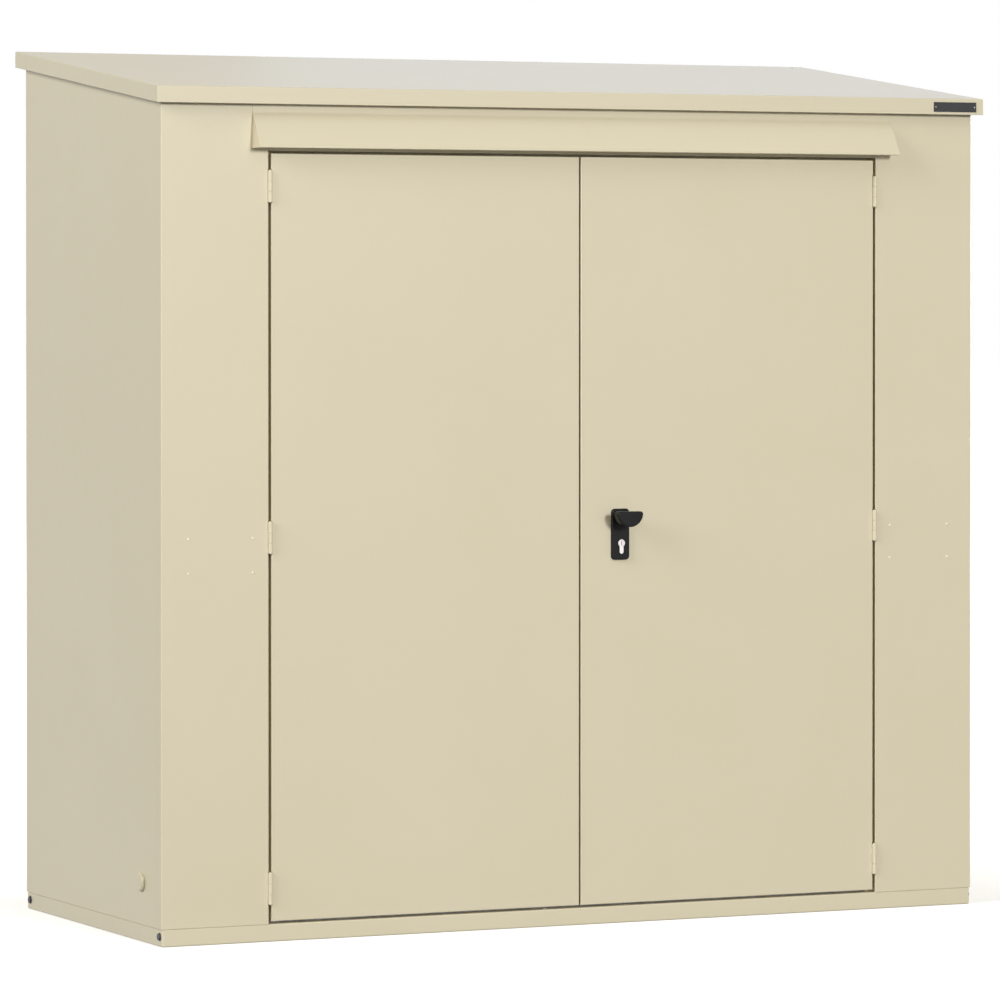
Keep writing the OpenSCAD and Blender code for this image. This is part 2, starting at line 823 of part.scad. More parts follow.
// Plates riveted inside the front panels
module front_stiffeners() {
    z1 = rivet_z + stiffener_edge;
    z0 = rivet_z - rivet_pitch_z - stiffener_edge;
    color(galvanised) both_sides() difference() {
        block(rivet_x0 - stiffener_edge, rivet_x0 + rivet_pitch_x + stiffener_edge, sheet_in, sheet_in + stiffener_t,
            z0, z1);
        for (p = rivet_spots) {
            bar_y(p[0], p[1], rivet_shank + joint_clear, sheet_in - cut, sheet_in + stiffener_t + cut);
        }
    }
}

module front_rivets() {
    tail = sheet_in + stiffener_t;
    color(zinc) both_sides() for (p = rivet_spots) {
        translate([p[0], front_y, p[1]]) rotate([90, 0, 0]) cylinder(r1 = rivet_r, r2 = rivet_r * 0.55, h = 1.4);
        bar_y(p[0], p[1], rivet_shank, front_y, tail);
        bar_y(p[0], p[1], rivet_shank + 0.8, tail, tail + 1.5);
    }
}

// Round cap that blanks the hole in the left wall
module side_cap() {
    spigot = 6;
    color(paint) translate([-side_x, front_y + cap_back, cap_z]) rotate([0, -90, 0]) {
        cylinder(r = cap_r, h = cap_out / 2);
        translate([0, 0, cap_out / 2]) cylinder(r1 = cap_r, r2 = cap_r - 5, h = cap_out / 2);
        translate([0, 0, -spigot]) cylinder(r = cap_r - 4, h = spigot);
    }
}

// Blank plate where the roof lip has its badge
module name_plate() {
    color(black) difference() {
        block(badge_x - badge_w / 2, badge_x + badge_w / 2, roof_y0 - badge_t, roof_y0,
            badge_z - badge_h / 2, badge_z + badge_h / 2);
        for (i = [-1, 1]) {
            bar_y(badge_x + i * (badge_w / 2 - badge_rivet_in), badge_z, badge_rivet_r + joint_clear,
                roof_y0 - badge_t - cut, roof_y0 + cut);
        }
    }
}

module plate_rivets() {
    color(zinc) for (i = [-1, 1]) {
        x = badge_x + i * (badge_w / 2 - badge_rivet_in);
        bar_y(x, badge_z, badge_rivet_r, roof_y0 - badge_t, roof_y0 + roof_t + 1);
        bar_y(x, badge_z, badge_rivet_r + 0.8, roof_y0 - badge_t - 0.8, roof_y0 - badge_t);
    }
}

// Hinges, modelled for the right-hand side
module frame_leaf(z) {
    outer = hinge_h / 2;
    inner = knuckle_h / 2;
    difference() {
        union() {
            block(jamb_x - leaf_t, jamb_x, hinge_y, front_y + leaf_d, z - outer, z + outer);
            bar_z(hinge_x, hinge_y, knuckle_r, z - outer, z + outer);
        }
        bar_z(hinge_x, hinge_y, knuckle_r + knuckle_clear, z - inner, z + inner);
        bar_z(hinge_x, hinge_y, pin_r + joint_clear, z - outer - cut, z + outer + cut);
    }
}

module door_leaf(z) {
    outer = hinge_h / 2;
    inner = knuckle_h / 2 - turn_clear;
    difference() {
        union() {
            block(door_edge, door_edge + leaf_t, hinge_y, front_y + leaf_d, z - outer, z + outer);
            bar_z(hinge_x, hinge_y, knuckle_r, z - inner, z + inner);
        }
        for (s = [-1, 1]) {
            bar_z(hinge_x, hinge_y, knuckle_r + knuckle_clear, z + (s > 0 ? inner : -outer - cut),
                z + (s > 0 ? outer + cut : -inner));
        }
        bar_z(hinge_x, hinge_y, pin_r + joint_clear, z - outer - cut, z + outer + cut);
    }
}

module frame_hinge_leaves() {
    color(paint) both_sides() for (z = hinge_zs) frame_leaf(z);
}

module door_leaves_right() {
    color(paint) for (z = hinge_zs) door_leaf(z);
}

module door_leaves_left() {
    color(paint) left_side() for (z = hinge_zs) door_leaf(z);
}

module hinge_pins() {
    color(paint) both_sides() for (z = hinge_zs) {
        bar_z(hinge_x, hinge_y, pin_r, z - hinge_h / 2, z + hinge_h / 2);
        bar_z(hinge_x, hinge_y, pin_head_r, z + hinge_h / 2, z + hinge_h / 2 + pin_head_h);
        bar_z(hinge_x, hinge_y, pin_head_r, z - hinge_h / 2 - pin_head_h, z - hinge_h / 2);
    }
}

// Plates that take the rods and bolts, above the header's underside and below the floor
module strike(r, z) {
    difference() {
        block(-20, 20, -12, 12, z, z + strike_t);
        bar_z(0, 0, r + strike_clear, z - cut, z + strike_t + cut);
    }
}

module strike_plates() {
    top = doorway_top + wall_t;
    bottom = floor_under - strike_t;
    color(galvanised) {
        at_rods_top() strike(rod_r, top);
        at_rods_bottom() strike(rod_r, bottom);
        at_tower_bolts() strike(bolt_r, top);
        at_tower_bolts() strike(bolt_r, bottom);
    }
}

// Doors, modelled for the right-hand side
module door_tray() {
    difference() {
        block(door_meet, door_edge, front_y, door_back, door_z0, door_z1);
        block(door_meet + wall_t, door_edge - wall_t, sheet_in, door_back - wall_t,
            door_z0 + wall_t, door_z1 - wall_t);
        block(door_meet + door_lip, door_edge - door_lip, door_back - wall_t - cut, door_back + cut,
            door_z0 + door_lip, door_z1 - door_lip);
        hinge_notches();
    }
}

module door_ribs() {
    half = door_rib_w / 2;
    crown = front_y + door_rib_h;
    z0 = door_z0 + wall_t;
    z1 = door_z1 - wall_t;
    for (i = [-1, 1]) translate([door_mid + i * door_rib_pitch / 2, 0, 0]) {
        block(-half, half, crown - wall_t, crown, z0, z1);
        both_sides() {
            block(half - wall_t, half, sheet_in, crown, z0, z1);
            block(half - wall_t, half + door_rib_flange, sheet_in, sheet_in + wall_t, z0, z1);
        }
    }
}

// Outline of the key cylinder, round end up, grown by a clearance
module cylinder_profile(grow) {
    circle(r = profile_r + grow);
    stem = profile_h - profile_r - profile_w / 2;
    translate([-profile_w / 2 - grow, -stem]) square([profile_w + 2 * grow, stem]);
    translate([0, -stem]) circle(r = profile_w / 2 + grow);
}

module cylinder_hole(y0, y1) {
    along_y(y0, y1) translate([lock_x, cylinder_z]) cylinder_profile(profile_clear);
}

module plate_screw_holes(y0, y1, r) {
    for (z = plate_screw_zs) bar_y(lock_x, z, r, y0, y1);
}

module door_skin_right() {
    color(paint) difference() {
        door_tray();
        at_rods_top() bar_z(0, 0, rod_r + slide_clear, door_z1 - wall_t - cut, door_z1 + cut);
        at_rods_bottom() bar_z(0, 0, rod_r + slide_clear, door_z0 - cut, door_z0 + wall_t + cut);
        bar_y(lock_x, spindle_z, hub_r + end_clear, front_y - cut, sheet_in + cut);
        cylinder_hole(front_y - cut, sheet_in + cut);
        plate_screw_holes(front_y - cut, sheet_in + cut, plate_screw_r + plate_screw_clear);
    }
}

module door_skin_left() {
    color(paint) difference() {
        left_side() door_tray();
        at_tower_bolts() bar_z(0, 0, bolt_r + slide_clear, door_z1 - wall_t - cut, door_z1 + cut);
        at_tower_bolts() bar_z(0, 0, bolt_r + slide_clear, door_z0 - cut, door_z0 + wall_t + cut);
    }
}

module door_ribs_right() {
    color(galvanised) door_ribs();
}

module door_ribs_left() {
    color(galvanised) left_side() door_ribs();
}

module middle_strip() {
    color(rubber) block(-door_meet, -door_meet + strip_t, front_y + strip_front, front_y + strip_front + strip_d,
        door_z0 + end_clear, door_z1 - end_clear);
}

// Lock
module plate_outline() {
    half = plate_w / 2;
    translate([lock_x, 0]) {
        translate([-half + plate_r, plate_z0]) square([plate_w - 2 * plate_r, plate_h]);
        translate([-half, plate_z0 + plate_r]) square([plate_w, plate_h - 2 * plate_r]);
        for (s = [-1, 1], z = [plate_z0 + plate_r, plate_z1 - plate_r]) {
            translate([s * (half - plate_r), z]) circle(r = plate_r);
        }
    }
}

module lock_plate() {
    color(black) difference() {
        along_y(front_y - plate_t, front_y) plate_outline();
        bar_y(lock_x, spindle_z, neck_r + turn_clear, front_y - plate_t - cut, front_y + cut);
        cylinder_hole(front_y - plate_t - cut, front_y + cut);
        plate_screw_holes(front_y - plate_t + 2, front_y + cut, plate_screw_r + joint_clear);
    }
}

module lock_case() {
    x0 = lock_x - case_half;
    x1 = lock_x + case_half;
    base = sheet_in + case_t;
    color(galvanised) difference() {
        block(x0, x1, sheet_in, case_back - case_t, case_bottom, case_top);
        block(x0 + case_t, x1 - case_t, base, case_back, case_bottom + case_t, case_top - case_t);
        bar_y(lock_x, spindle_z, hub_r + bearing_clear, sheet_in - cut, base + cut);
        cylinder_hole(sheet_in - cut, base + cut);
        plate_screw_holes(sheet_in - cut, base + cut, plate_screw_r + plate_screw_clear);
        at_rods_top() bar_z(0, 0, rod_r + slide_clear, case_top - case_t - cut, case_top + cut);
        at_rods_bottom() bar_z(0, 0, rod_r + slide_clear, case_bottom - cut, case_bottom + case_t + cut);
        bar_x(cam_y, cylinder_screw_z, 2.5 + plate_screw_clear, x0 - cut, x0 + case_t + cut);
    }
}

module lock_cover() {
    y0 = case_back - case_t;
    color(galvanised) difference() {
        block(lock_x - case_half, lock_x + case_half, y0, case_back, case_bottom, case_top);
        bar_y(lock_x, spindle_z, hub_r + bearing_clear, y0 - cut, case_back + cut);
        cylinder_hole(y0 - cut, case_back + cut);
        plate_screw_holes(y0 - cut, case_back + cut, plate_screw_r + plate_screw_clear);
    }
}

module inner_plate() {
    y1 = case_back + inner_plate_t;
    color(black) difference() {
        along_y(case_back, y1) plate_outline();
        bar_y(lock_x, spindle_z, neck_r + turn_clear, case_back - cut, y1 + cut);
        cylinder_hole(case_back - cut, y1 + cut);
        plate_screw_holes(case_back - cut, y1 + cut, plate_screw_r + plate_screw_clear);
    }
}

module plate_screws() {
    y1 = case_back + inner_plate_t;
    color(zinc) for (z = plate_screw_zs) {
        bar_y(lock_x, z, plate_screw_r, front_y - plate_t + 2.5, y1);
        bar_y(lock_x, z, plate_screw_r + 1.7, y1, y1 + 2);
    }
}

module key_cylinder() {
    gap = cam_t / 2 + end_clear;
    color(bright) difference() {
        along_y(cylinder_y0, cylinder_y1) translate([lock_x, cylinder_z]) cylinder_profile(0);
        bar_y(lock_x, cylinder_z, plug_r + joint_clear, cylinder_y0 - cut, cylinder_y1 + cut);
        block(lock_x - 20, lock_x + 20, cam_y - gap, cam_y + gap, cylinder_z - cam_r - 1, cylinder_z + 20);
        bar_x(cam_y, cylinder_screw_z, 2.5 + joint_clear, lock_x - profile_w, lock_x + profile_w);
    }
}

module cylinder_screw() {
    x0 = lock_x - case_half;
    color(zinc) {
        bar_x(cam_y, cylinder_screw_z, 2.5, x0, lock_x + profile_w / 2);
        bar_x(cam_y, cylinder_screw_z, 4.5, x0 - 3, x0);
    }
}

module cylinder_plug() {
    key_w = 1.6;
    key_h = 8.5;
    key_depth = 12;
    color(bright) difference() {
        union() {
            bar_y(lock_x, cylinder_z, plug_r, cylinder_y0, cylinder_y1);
            bar_y(lock_x, cylinder_z, cam_hub_r, cam_y - cam_t / 2, cam_y + cam_t / 2);
            translate([lock_x, cam_y - cam_t / 2, cylinder_z]) rotate([0, 30, 0])
                translate([-4, 0, -cam_r + 1]) cube([8, cam_t, cam_r - 1]);
        }
        block(lock_x - key_w / 2, lock_x + key_w / 2, cylinder_y0 - cut, cylinder_y0 + key_depth,
            cylinder_z - key_h / 2, cylinder_z + key_h / 2);
        block(lock_x - key_w / 2, lock_x + key_w / 2, cylinder_y1 - key_depth, cylinder_y1 + cut,
            cylinder_z - key_h / 2, cylinder_z + key_h / 2);
    }
}

// Half-round grip, flat edge up, its corners rounded
module grip_outline() {
    corner_z = grip_rise - grip_corner;
    corner_x = sqrt(pow(grip_r - grip_corner, 2) - pow(corner_z, 2));
    touch = grip_r / (grip_r - grip_corner);
    translate([lock_x, spindle_z + grip_above - grip_rise]) {
        intersection() {
            circle(r = grip_r);
            translate([-grip_r, -grip_r]) square([2 * grip_r, grip_r + corner_z * touch]);
        }
        for (s = [-1, 1]) translate([s * corner_x, corner_z]) circle(r = grip_corner);
        polygon([
            [-corner_x * touch, corner_z * touch],
            [corner_x * touch, corner_z * touch],
            [corner_x, corner_z],
            [corner_x, grip_rise],
            [-corner_x, grip_rise],
            [-corner_x, corner_z]
        ]);
    }
}

module square_bar(half, y0, y1) {
    block(lock_x - half, lock_x + half, y0, y1, spindle_z - half, spindle_z + half);
}

module turn_handle() {
    grip_back = front_y - grip_out + grip_t;
    neck_front = front_y - plate_t - end_clear;
    color(black) difference() {
        union() {
            along_y(front_y - grip_out, grip_back) grip_outline();
            translate([lock_x, grip_back, spindle_z]) rotate([-90, 0, 0])
                cylinder(r1 = 12.5, r2 = 11.5, h = neck_front - grip_back);
            bar_y(lock_x, spindle_z, neck_r, neck_front, front_y - 1);
        }
        square_bar(spindle_s / 2 + joint_clear, spindle_y0, front_y);
    }
}

module spindle() {
    color(zinc) square_bar(spindle_s / 2, spindle_y0, spindle_y1);
}

// One involute flank, from the base circle to the tooth's tip
function involute(t) = base_r * [cos(t) + t * PI / 180 * sin(t), sin(t) - t * PI / 180 * cos(t)];
function turned(p, a) = [p[0] * cos(a) - p[1] * sin(a), p[0] * sin(a) + p[1] * cos(a)];

module pinion_outline() {
    tip_t = sqrt(pow((pitch_r + addendum) / base_r, 2) - 1) * 180 / PI;
    lead = tan(pressure_angle) * 180 / PI - pressure_angle;
    half_tooth = 90 / pinion_teeth - backlash / 4 / pitch_r * 180 / PI;
    flank = [for (i = [0:6]) turned(involute(tip_t * i / 6), -half_tooth - lead)];
    mirrored = [for (i = [6:-1:0]) [flank[i][0], -flank[i][1]]];
    foot = (pitch_r - dedendum - 1) / base_r;
    circle(r = pitch_r - dedendum);
    for (k = [0:pinion_teeth - 1]) rotate([0, 0, k * 360 / pinion_teeth]) {
        polygon(concat([flank[0] * foot], flank, mirrored, [mirrored[6] * foot]));
    }
}

module pinion() {
    color(zinc) difference() {
        union() {
            along_y(rod_y - pinion_t / 2, rod_y + pinion_t / 2) translate([lock_x, spindle_z]) pinion_outline();
            bar_y(lock_x, spindle_z, hub_r, sheet_in - wall_t + 0.3, case_back - 0.3);
        }
        square_bar(spindle_s / 2 + joint_clear, front_y - cut, case_back + cut);
    }
}

module inner_handle() {
    y0 = case_back + inner_plate_t + end_clear;
    y1 = y0 + inner_hub_l;
    bar_t = 12;
    end_r = 7;
    half = inner_grip_w / 2;
    color(black) difference() {
        union() {
            bar_y(lock_x, spindle_z, neck_r, case_back + end_clear, y0);
            bar_y(lock_x, spindle_z, 12, y0, y1);
            block(lock_x - half + end_r, lock_x + half - end_r, y1, y1 + bar_t, spindle_z - end_r, spindle_z + end_r);
            for (s = [-1, 1]) bar_y(lock_x + s * (half - end_r), spindle_z, end_r, y1, y1 + bar_t);
        }
        square_bar(spindle_s / 2 + joint_clear, case_back, spindle_y1);
    }
}

// Rack that drives the lower rod, drawn about the spindle's axis
module rack() {
    tip = pitch_r - addendum;
    root = pitch_r + dedendum;
    half = (rack_pitch - backlash) / 4;
    spread = tan(pressure_angle);
    outer = rod_offset + rod_r + rack_wall;
    first = ceil(-10 / rack_pitch);
    last = floor((rack_high - 3) / rack_pitch) - 1;
    difference() {
        translate([lock_x, 0, spindle_z]) union() {
            block(root, outer, rod_y - rack_t / 2, rod_y + rack_t / 2, -rack_low, rack_high);
            along_y(rod_y - pinion_t / 2, rod_y + pinion_t / 2) for (k = [first:last]) {
                translate([0, (k + 0.5) * rack_pitch]) polygon([
                    [root + 0.5, half + (dedendum + 0.5) * spread],
                    [tip, half - addendum * spread],
                    [tip, -half + addendum * spread],
                    [root + 0.5, -half - (dedendum + 0.5) * spread]
                ]);
            }
        }
        at_rods_bottom() bar_z(0, 0, rod_r + joint_clear, spindle_z - rack_low - cut,
            spindle_z - rack_low + rod_socket);
    }
}

// Half a turn about the spindle puts the upper rack on the other side of the pinion
module upper_half() {
    translate([lock_x, 0, spindle_z]) rotate([0, 180, 0]) translate([-lock_x, 0, -spindle_z]) children();
}

module rack_lower() {
    color(zinc) rack();
}

module rack_upper() {
    color(zinc) upper_half() rack();
}

module rod_lower() {
    color(zinc) at_rods_bottom() bar_z(0, 0, rod_r, door_z0 + rod_shy, spindle_z - rack_low + rod_socket);
}

module rod_upper() {
    color(zinc) at_rods_top() bar_z(0, 0, rod_r, spindle_z + rack_low - rod_socket, door_z1 - rod_shy);
}

module rod_guide(z) {
    half = guide_w / 2;
    difference() {
        block(-half, half, sheet_in - rod_y, rod_r + guide_wall, z - guide_h / 2, z + guide_h / 2);
        bar_z(0, 0, rod_r + slide_clear, z - guide_h / 2 - cut, z + guide_h / 2 + cut);
    }
}

module rod_guides() {
    color(galvanised) {
        at_rods_top() {
            rod_guide(door_z1 - guide_top_down);
            rod_guide(spindle_z + guide_mid_up);
        }
        at_rods_bottom() {
            rod_guide(door_z0 + guide_top_down);
            rod_guide(spindle_z - guide_mid_up);
        }
    }
}

// Tower bolts on the left door
module tower_bolt() {
    color(zinc) at_tower_bolts() {
        bar_z(0, 0, bolt_r, bolt_z0, bolt_z1);
        bar_y(0, bolt_lever_z, bolt_lever_r, 0, door_d - rod_in + 4);
        bar_y(0, bolt_lever_z, bolt_lever_r + 3, door_d - rod_in + 4, door_d - rod_in + 14);
    }
}

module bolt_housing() {
    half = bolt_r + housing_wall;
    back = sheet_in - rod_y;
    at_tower_bolts() difference() {
        union() {
            block(-half, half, back, back + 1.5, housing_z0, housing_z1);
            block(-half, half, back, bolt_r + guide_wall, housing_z0, housing_z0 + guide_h);
            block(-half, half, back, bolt_r + guide_wall, housing_z1 - guide_h, housing_z1);
        }
        bar_z(0, 0, bolt_r + slide_clear, housing_z0 - cut, housing_z1 + cut);
    }
}

// Turns the top bolt's parts over to the bottom of the door
module flip_door() {
    translate([0, 0, door_z0 + door_z1]) mirror([0, 0, 1]) children();
}

module tower_bolt_top() {
    tower_bolt();
}

module tower_bolt_bottom() {
    flip_door() tower_bolt();
}

module bolt_housings() {
    color(galvanised) {
        bolt_housing();
        flip_door() bolt_housing();
    }
}

floor_tray();
floor_ribs();
base_brackets();
base_bolts();
base_nuts();
floor_screws();
threshold();
side_panel_left();
side_panel_right();
rear_panel_left();
rear_panel_right();
front_panel_left();
front_panel_right();
header_beam();
rain_hood();
hood_screws();
panel_bolts();
panel_nuts();
roof_panel();
roof_braces();
roof_studs();
roof_nuts();
front_stiffeners();
front_rivets();
side_cap();
name_plate();
plate_rivets();
frame_hinge_leaves();
hinge_pins();
strike_plates();
door_skin_right();
door_ribs_right();
door_leaves_right();
lock_plate();
lock_case();
lock_cover();
inner_plate();
plate_screws();
key_cylinder();
cylinder_screw();
rod_guides();
turn_handle();
spindle();
pinion();
inner_handle();
cylinder_plug();
rack_upper();
rod_upper();
rack_lower();
rod_lower();
door_skin_left();
door_ribs_left();
door_leaves_left();
middle_strip();
bolt_housings();
tower_bolt_top();
tower_bolt_bottom();
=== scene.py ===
import math

import bpy
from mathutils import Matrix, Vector


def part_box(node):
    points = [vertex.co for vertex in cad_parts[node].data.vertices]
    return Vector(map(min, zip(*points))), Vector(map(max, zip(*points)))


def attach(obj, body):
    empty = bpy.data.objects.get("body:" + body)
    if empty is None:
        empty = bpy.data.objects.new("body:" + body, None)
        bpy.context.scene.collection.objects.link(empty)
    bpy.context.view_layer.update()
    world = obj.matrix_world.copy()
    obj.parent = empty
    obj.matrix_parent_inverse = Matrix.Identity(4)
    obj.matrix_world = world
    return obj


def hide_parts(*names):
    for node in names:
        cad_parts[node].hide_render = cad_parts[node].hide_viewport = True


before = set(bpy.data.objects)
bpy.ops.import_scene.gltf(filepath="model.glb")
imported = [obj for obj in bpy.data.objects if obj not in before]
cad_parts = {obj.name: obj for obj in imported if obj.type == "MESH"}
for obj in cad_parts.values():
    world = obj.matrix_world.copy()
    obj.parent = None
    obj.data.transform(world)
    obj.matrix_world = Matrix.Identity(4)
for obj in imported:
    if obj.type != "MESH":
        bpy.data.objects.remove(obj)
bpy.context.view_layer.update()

# Sizes in metres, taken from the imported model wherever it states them
PANEL_LOW, PANEL_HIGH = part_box("front_panel_right")
DOOR_LOW, DOOR_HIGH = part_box("door_skin_right")
ROOF_LOW, ROOF_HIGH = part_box("roof_panel")
FLOOR_LOW, FLOOR_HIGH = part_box("floor_tray")
HOOD_LOW, HOOD_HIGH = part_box("rain_hood")
HEADER_LOW, HEADER_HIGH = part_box("header_beam")
PLATE_LOW, PLATE_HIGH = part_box("lock_plate")
GRIP_LOW, GRIP_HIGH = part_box("turn_handle")
BADGE_LOW, BADGE_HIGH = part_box("name_plate")

# Walls and folds
SHEET = 0.0012
FRONT = PANEL_LOW.y
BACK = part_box("rear_panel_right")[1].y
SIDE = PANEL_HIGH.x
JAMB = HEADER_HIGH.x
STOP_DEPTH = PANEL_HIGH.y - FRONT - SHEET
STOP_REACH = JAMB - PANEL_LOW.x
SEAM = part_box("side_panel_right")[0].y
REAR_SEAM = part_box("rear_panel_right")[1].x
FLANGE = 0.025
SHORT_CUT = 0.010
LONG_CUT = 0.020
WALL_BEND = 0.0022
SEAM_BEND = 0.0010
STOP_BEND = 0.0012
PLINTH = PANEL_LOW.z
DOORWAY_TOP = HEADER_LOW.z + STOP_REACH

# Roof
LIP = 0.038
ROOF_SLOPE = math.tan(math.radians(6.9))
ROOF_FRONT_TOP = ROOF_LOW.z + LIP
FILM = 0.00005

# Hinges
HINGE_X = (JAMB + DOOR_HIGH.x) / 2
HINGE_Y = FRONT - 0.002
HINGE_LOW, HINGE_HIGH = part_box("frame_hinge_leaves")
HINGE_HALF = 0.0355
KNUCKLE_HALF = HINGE_HALF / 3
KNUCKLE_R = 0.0055
NOTCH_R = 0.0060
LEAF = 0.002
LEAF_BACK = FRONT + 0.028
HINGE_HEIGHTS = (
    HINGE_LOW.z + HINGE_HALF, (HINGE_LOW.z + HINGE_HIGH.z) / 2, HINGE_HIGH.z - HINGE_HALF)

# Lock, rods and tower bolts
LOCK_X = (PLATE_LOW.x + PLATE_HIGH.x) / 2
SPINDLE_Z = 0.940
CYLINDER_Z = 0.879
CYLINDER_R = 0.0085
STEM_HALF = 0.005
STEM_DROP = 0.0195
ROD_Y = FRONT + 0.015
UPPER_ROD_X = LOCK_X - 0.024
LOWER_ROD_X = LOCK_X + 0.024
ROD_HOLE = 0.0053
BOLT_X = -0.080
BOLT_HOLE = 0.0063
FRAME_SPARE = 0.0005

# Rivets and plinth bolts
RIVET_R = 0.0032
RIVET_TOP_Z = 0.907
RIVET_FOOT_Z = 0.830
RIVET_SHARE = 0.6
PLINTH_BOLT_Z = 0.0225
PLINTH_BOLT_FRONT = FRONT + 0.016
PLINTH_BOLT_BACK = BACK - 0.022


def roof_under(y):
    """Height of the roof sheet's underside at a depth."""
    sheet = SHEET * math.sqrt(1 + ROOF_SLOPE ** 2)
    return ROOF_FRONT_TOP + (y - ROOF_LOW.y) * ROOF_SLOPE - sheet - FILM


# Shaping helpers
def near(a, b, reach=0.0002):
    return abs(a - b) < reach


def select_none():
    for other in bpy.context.selected_objects:
        other.select_set(False)


def only(obj):
    """Leave just this object selected, and active."""
    select_none()
    obj.select_set(True)
    bpy.context.view_layer.objects.active = obj


def settle(obj, name):
    """Name a new object and put its place into its mesh."""
    obj.name = name
    obj.data.name = name
    only(obj)
    bpy.ops.object.transform_apply(location=True, rotation=True, scale=True)
    return obj


def slab(name, low, high):
    """A block between two corners, to be shaped further."""
    select_none()
    low = Vector(low)
    high = Vector(high)
    bpy.ops.mesh.primitive_cube_add(size=1, location=(low + high) / 2)
    obj = bpy.context.active_object
    obj.scale = high - low
    return settle(obj, name)


def rod(name, centre, axis, radius, length, sides=48):
    """A round bar about a centre, along X, Y or Z."""
    turns = {"X": (0, math.pi / 2, 0), "Y": (math.pi / 2, 0, 0), "Z": (0, 0, 0)}
    select_none()
    bpy.ops.mesh.primitive_cylinder_add(
        vertices=sides, radius=radius, depth=length, location=centre, rotation=turns[axis])
    return settle(bpy.context.active_object, name)


def pick(obj, kind, test):
    """Open a mesh for editing with only the faces, edges or corners that pass the test selected."""
    only(obj)
    bpy.ops.object.mode_set(mode="EDIT")
    bpy.ops.mesh.select_mode(type=kind)
    bpy.ops.mesh.select_all(action="DESELECT")
    bpy.ops.object.mode_set(mode="OBJECT")
    mesh = obj.data
    if kind == "FACE":
        for face in mesh.polygons:
            face.select = bool(test(face.center, face.normal))
    elif kind == "EDGE":
        for edge in mesh.edges:
            first, second = edge.vertices
            edge.select = bool(test(mesh.vertices[first].co, mesh.vertices[second].co))
    else:
        for corner in mesh.vertices:
            corner.select = bool(test(corner.co))
    bpy.ops.object.mode_set(mode="EDIT")


def pick_all(obj):
    """Open a mesh for editing with all of it selected."""
    only(obj)
    bpy.ops.object.mode_set(mode="EDIT")
    bpy.ops.mesh.select_all(action="SELECT")


def done():
    bpy.ops.object.mode_set(mode="OBJECT")


def extrude(move):
    bpy.ops.mesh.extrude_region_move(TRANSFORM_OT_translate={"value": move})


def drop_faces(obj, test):
    pick(obj, "FACE", test)
    bpy.ops.mesh.delete(type="FACE")
    done()


def fold_out(obj, test, move, squeeze=None):
    """Extrude the edges that pass the test into a flange, and draw its free edge in at the ends."""
    pick(obj, "EDGE", test)
    extrude(move)
    if squeeze:
        value, centre = squeeze
        bpy.ops.transform.resize(value=value, center_override=centre)
    done()


def shift_edges(obj, test, move):
    pick(obj, "EDGE", test)
    bpy.ops.transform.translate(value=move)
    done()


def round_edges(obj, test, radius, steps=4):
    pick(obj, "EDGE", test)
    bpy.ops.mesh.bevel(offset=radius, segments=steps, profile=0.5, affect="EDGES", clamp_overlap=True)
    done()


def slice_all(obj, point, normal, clear=False):
    """Cut a mesh with a plane, and clear what lies on the normal's side where asked."""
    pick_all(obj)
    bpy.ops.mesh.bisect(plane_co=point, plane_no=normal, clear_outer=clear)
    done()


def trim_to_roof(obj):
    slice_all(obj, (0, FRONT, roof_under(FRONT)), (0, -ROOF_SLOPE, 1), clear=True)


def apply_modifier(obj, kind, settings):
    only(obj)
    modifier = obj.modifiers.new(kind.title(), kind)
    for key, value in settings.items():
        setattr(modifier, key, value)
    bpy.ops.object.modifier_apply(modifier=modifier.name)


def face_out(obj, direction):
    """Make all faces agree, with the largest one across a direction pointing along it."""
    pick_all(obj)
    bpy.ops.mesh.remove_doubles(threshold=0.00001)
    bpy.ops.mesh.normals_make_consistent(inside=False)
    done()
    direction = Vector(direction)
    across = [face for face in obj.data.polygons if abs(face.normal.dot(direction)) > 0.9]
    widest = max(across, key=lambda face: face.area)
    if widest.normal.dot(direction) < 0:
        bpy.ops.object.mode_set(mode="EDIT")
        bpy.ops.mesh.flip_normals()
        done()


def thicken(obj, thickness=SHEET):
    apply_modifier(obj, "SOLIDIFY", {"thickness": thickness, "offset": -1, "use_even_offset": True})


def carve(obj, cutter):
    """Take a cutter's shape out of a piece, and remove the cutter."""
    apply_modifier(obj, "BOOLEAN", {"operation": "DIFFERENCE", "object": cutter, "solver": "EXACT"})
    bpy.data.objects.remove(cutter)


def bore(obj, centre, axis, radius, length, sides=32):
    carve(obj, rod("cutter", centre, axis, radius, length, sides))


def add_to(obj, others):
    """Join further shapes into a piece."""
    only(obj)
    for other in others:
        other.select_set(True)
    bpy.ops.object.join()
    return obj


def copy_of(obj, name, move=(0, 0, 0)):
    """A copy with its own mesh, moved."""
    made = obj.copy()
    made.data = obj.data.copy()
    bpy.context.scene.collection.objects.link(made)
    made.location = move
    return settle(made, name)


def mirror_of(obj, name):
    """A copy on the other side of the middle, with its own mesh."""
    made = obj.copy()
    made.data = obj.data.copy()
    bpy.context.scene.collection.objects.link(made)
    made.scale = (-1, 1, 1)
    settle(made, name)
    pick_all(made)
    bpy.ops.mesh.remove_doubles(threshold=0.000001)
    bpy.ops.mesh.normals_make_consistent(inside=False)
    done()
    return made


def smooth(obj, degrees=35):
    """Smooth the rounded folds and keep the wide faces flat."""
    only(obj)
    bpy.ops.object.shade_smooth_by_angle(angle=math.radians(degrees))
    apply_modifier(obj, "WEIGHTED_NORMAL", {"keep_sharp": True})


def soft_edges(obj, radius, steps=3, degrees=40):
    """Round every sharp edge of a solid piece a little."""
    apply_modifier(obj, "BEVEL", {
        "width": radius, "segments": steps, "limit_method": "ANGLE", "angle_limit": math.radians(degrees)})


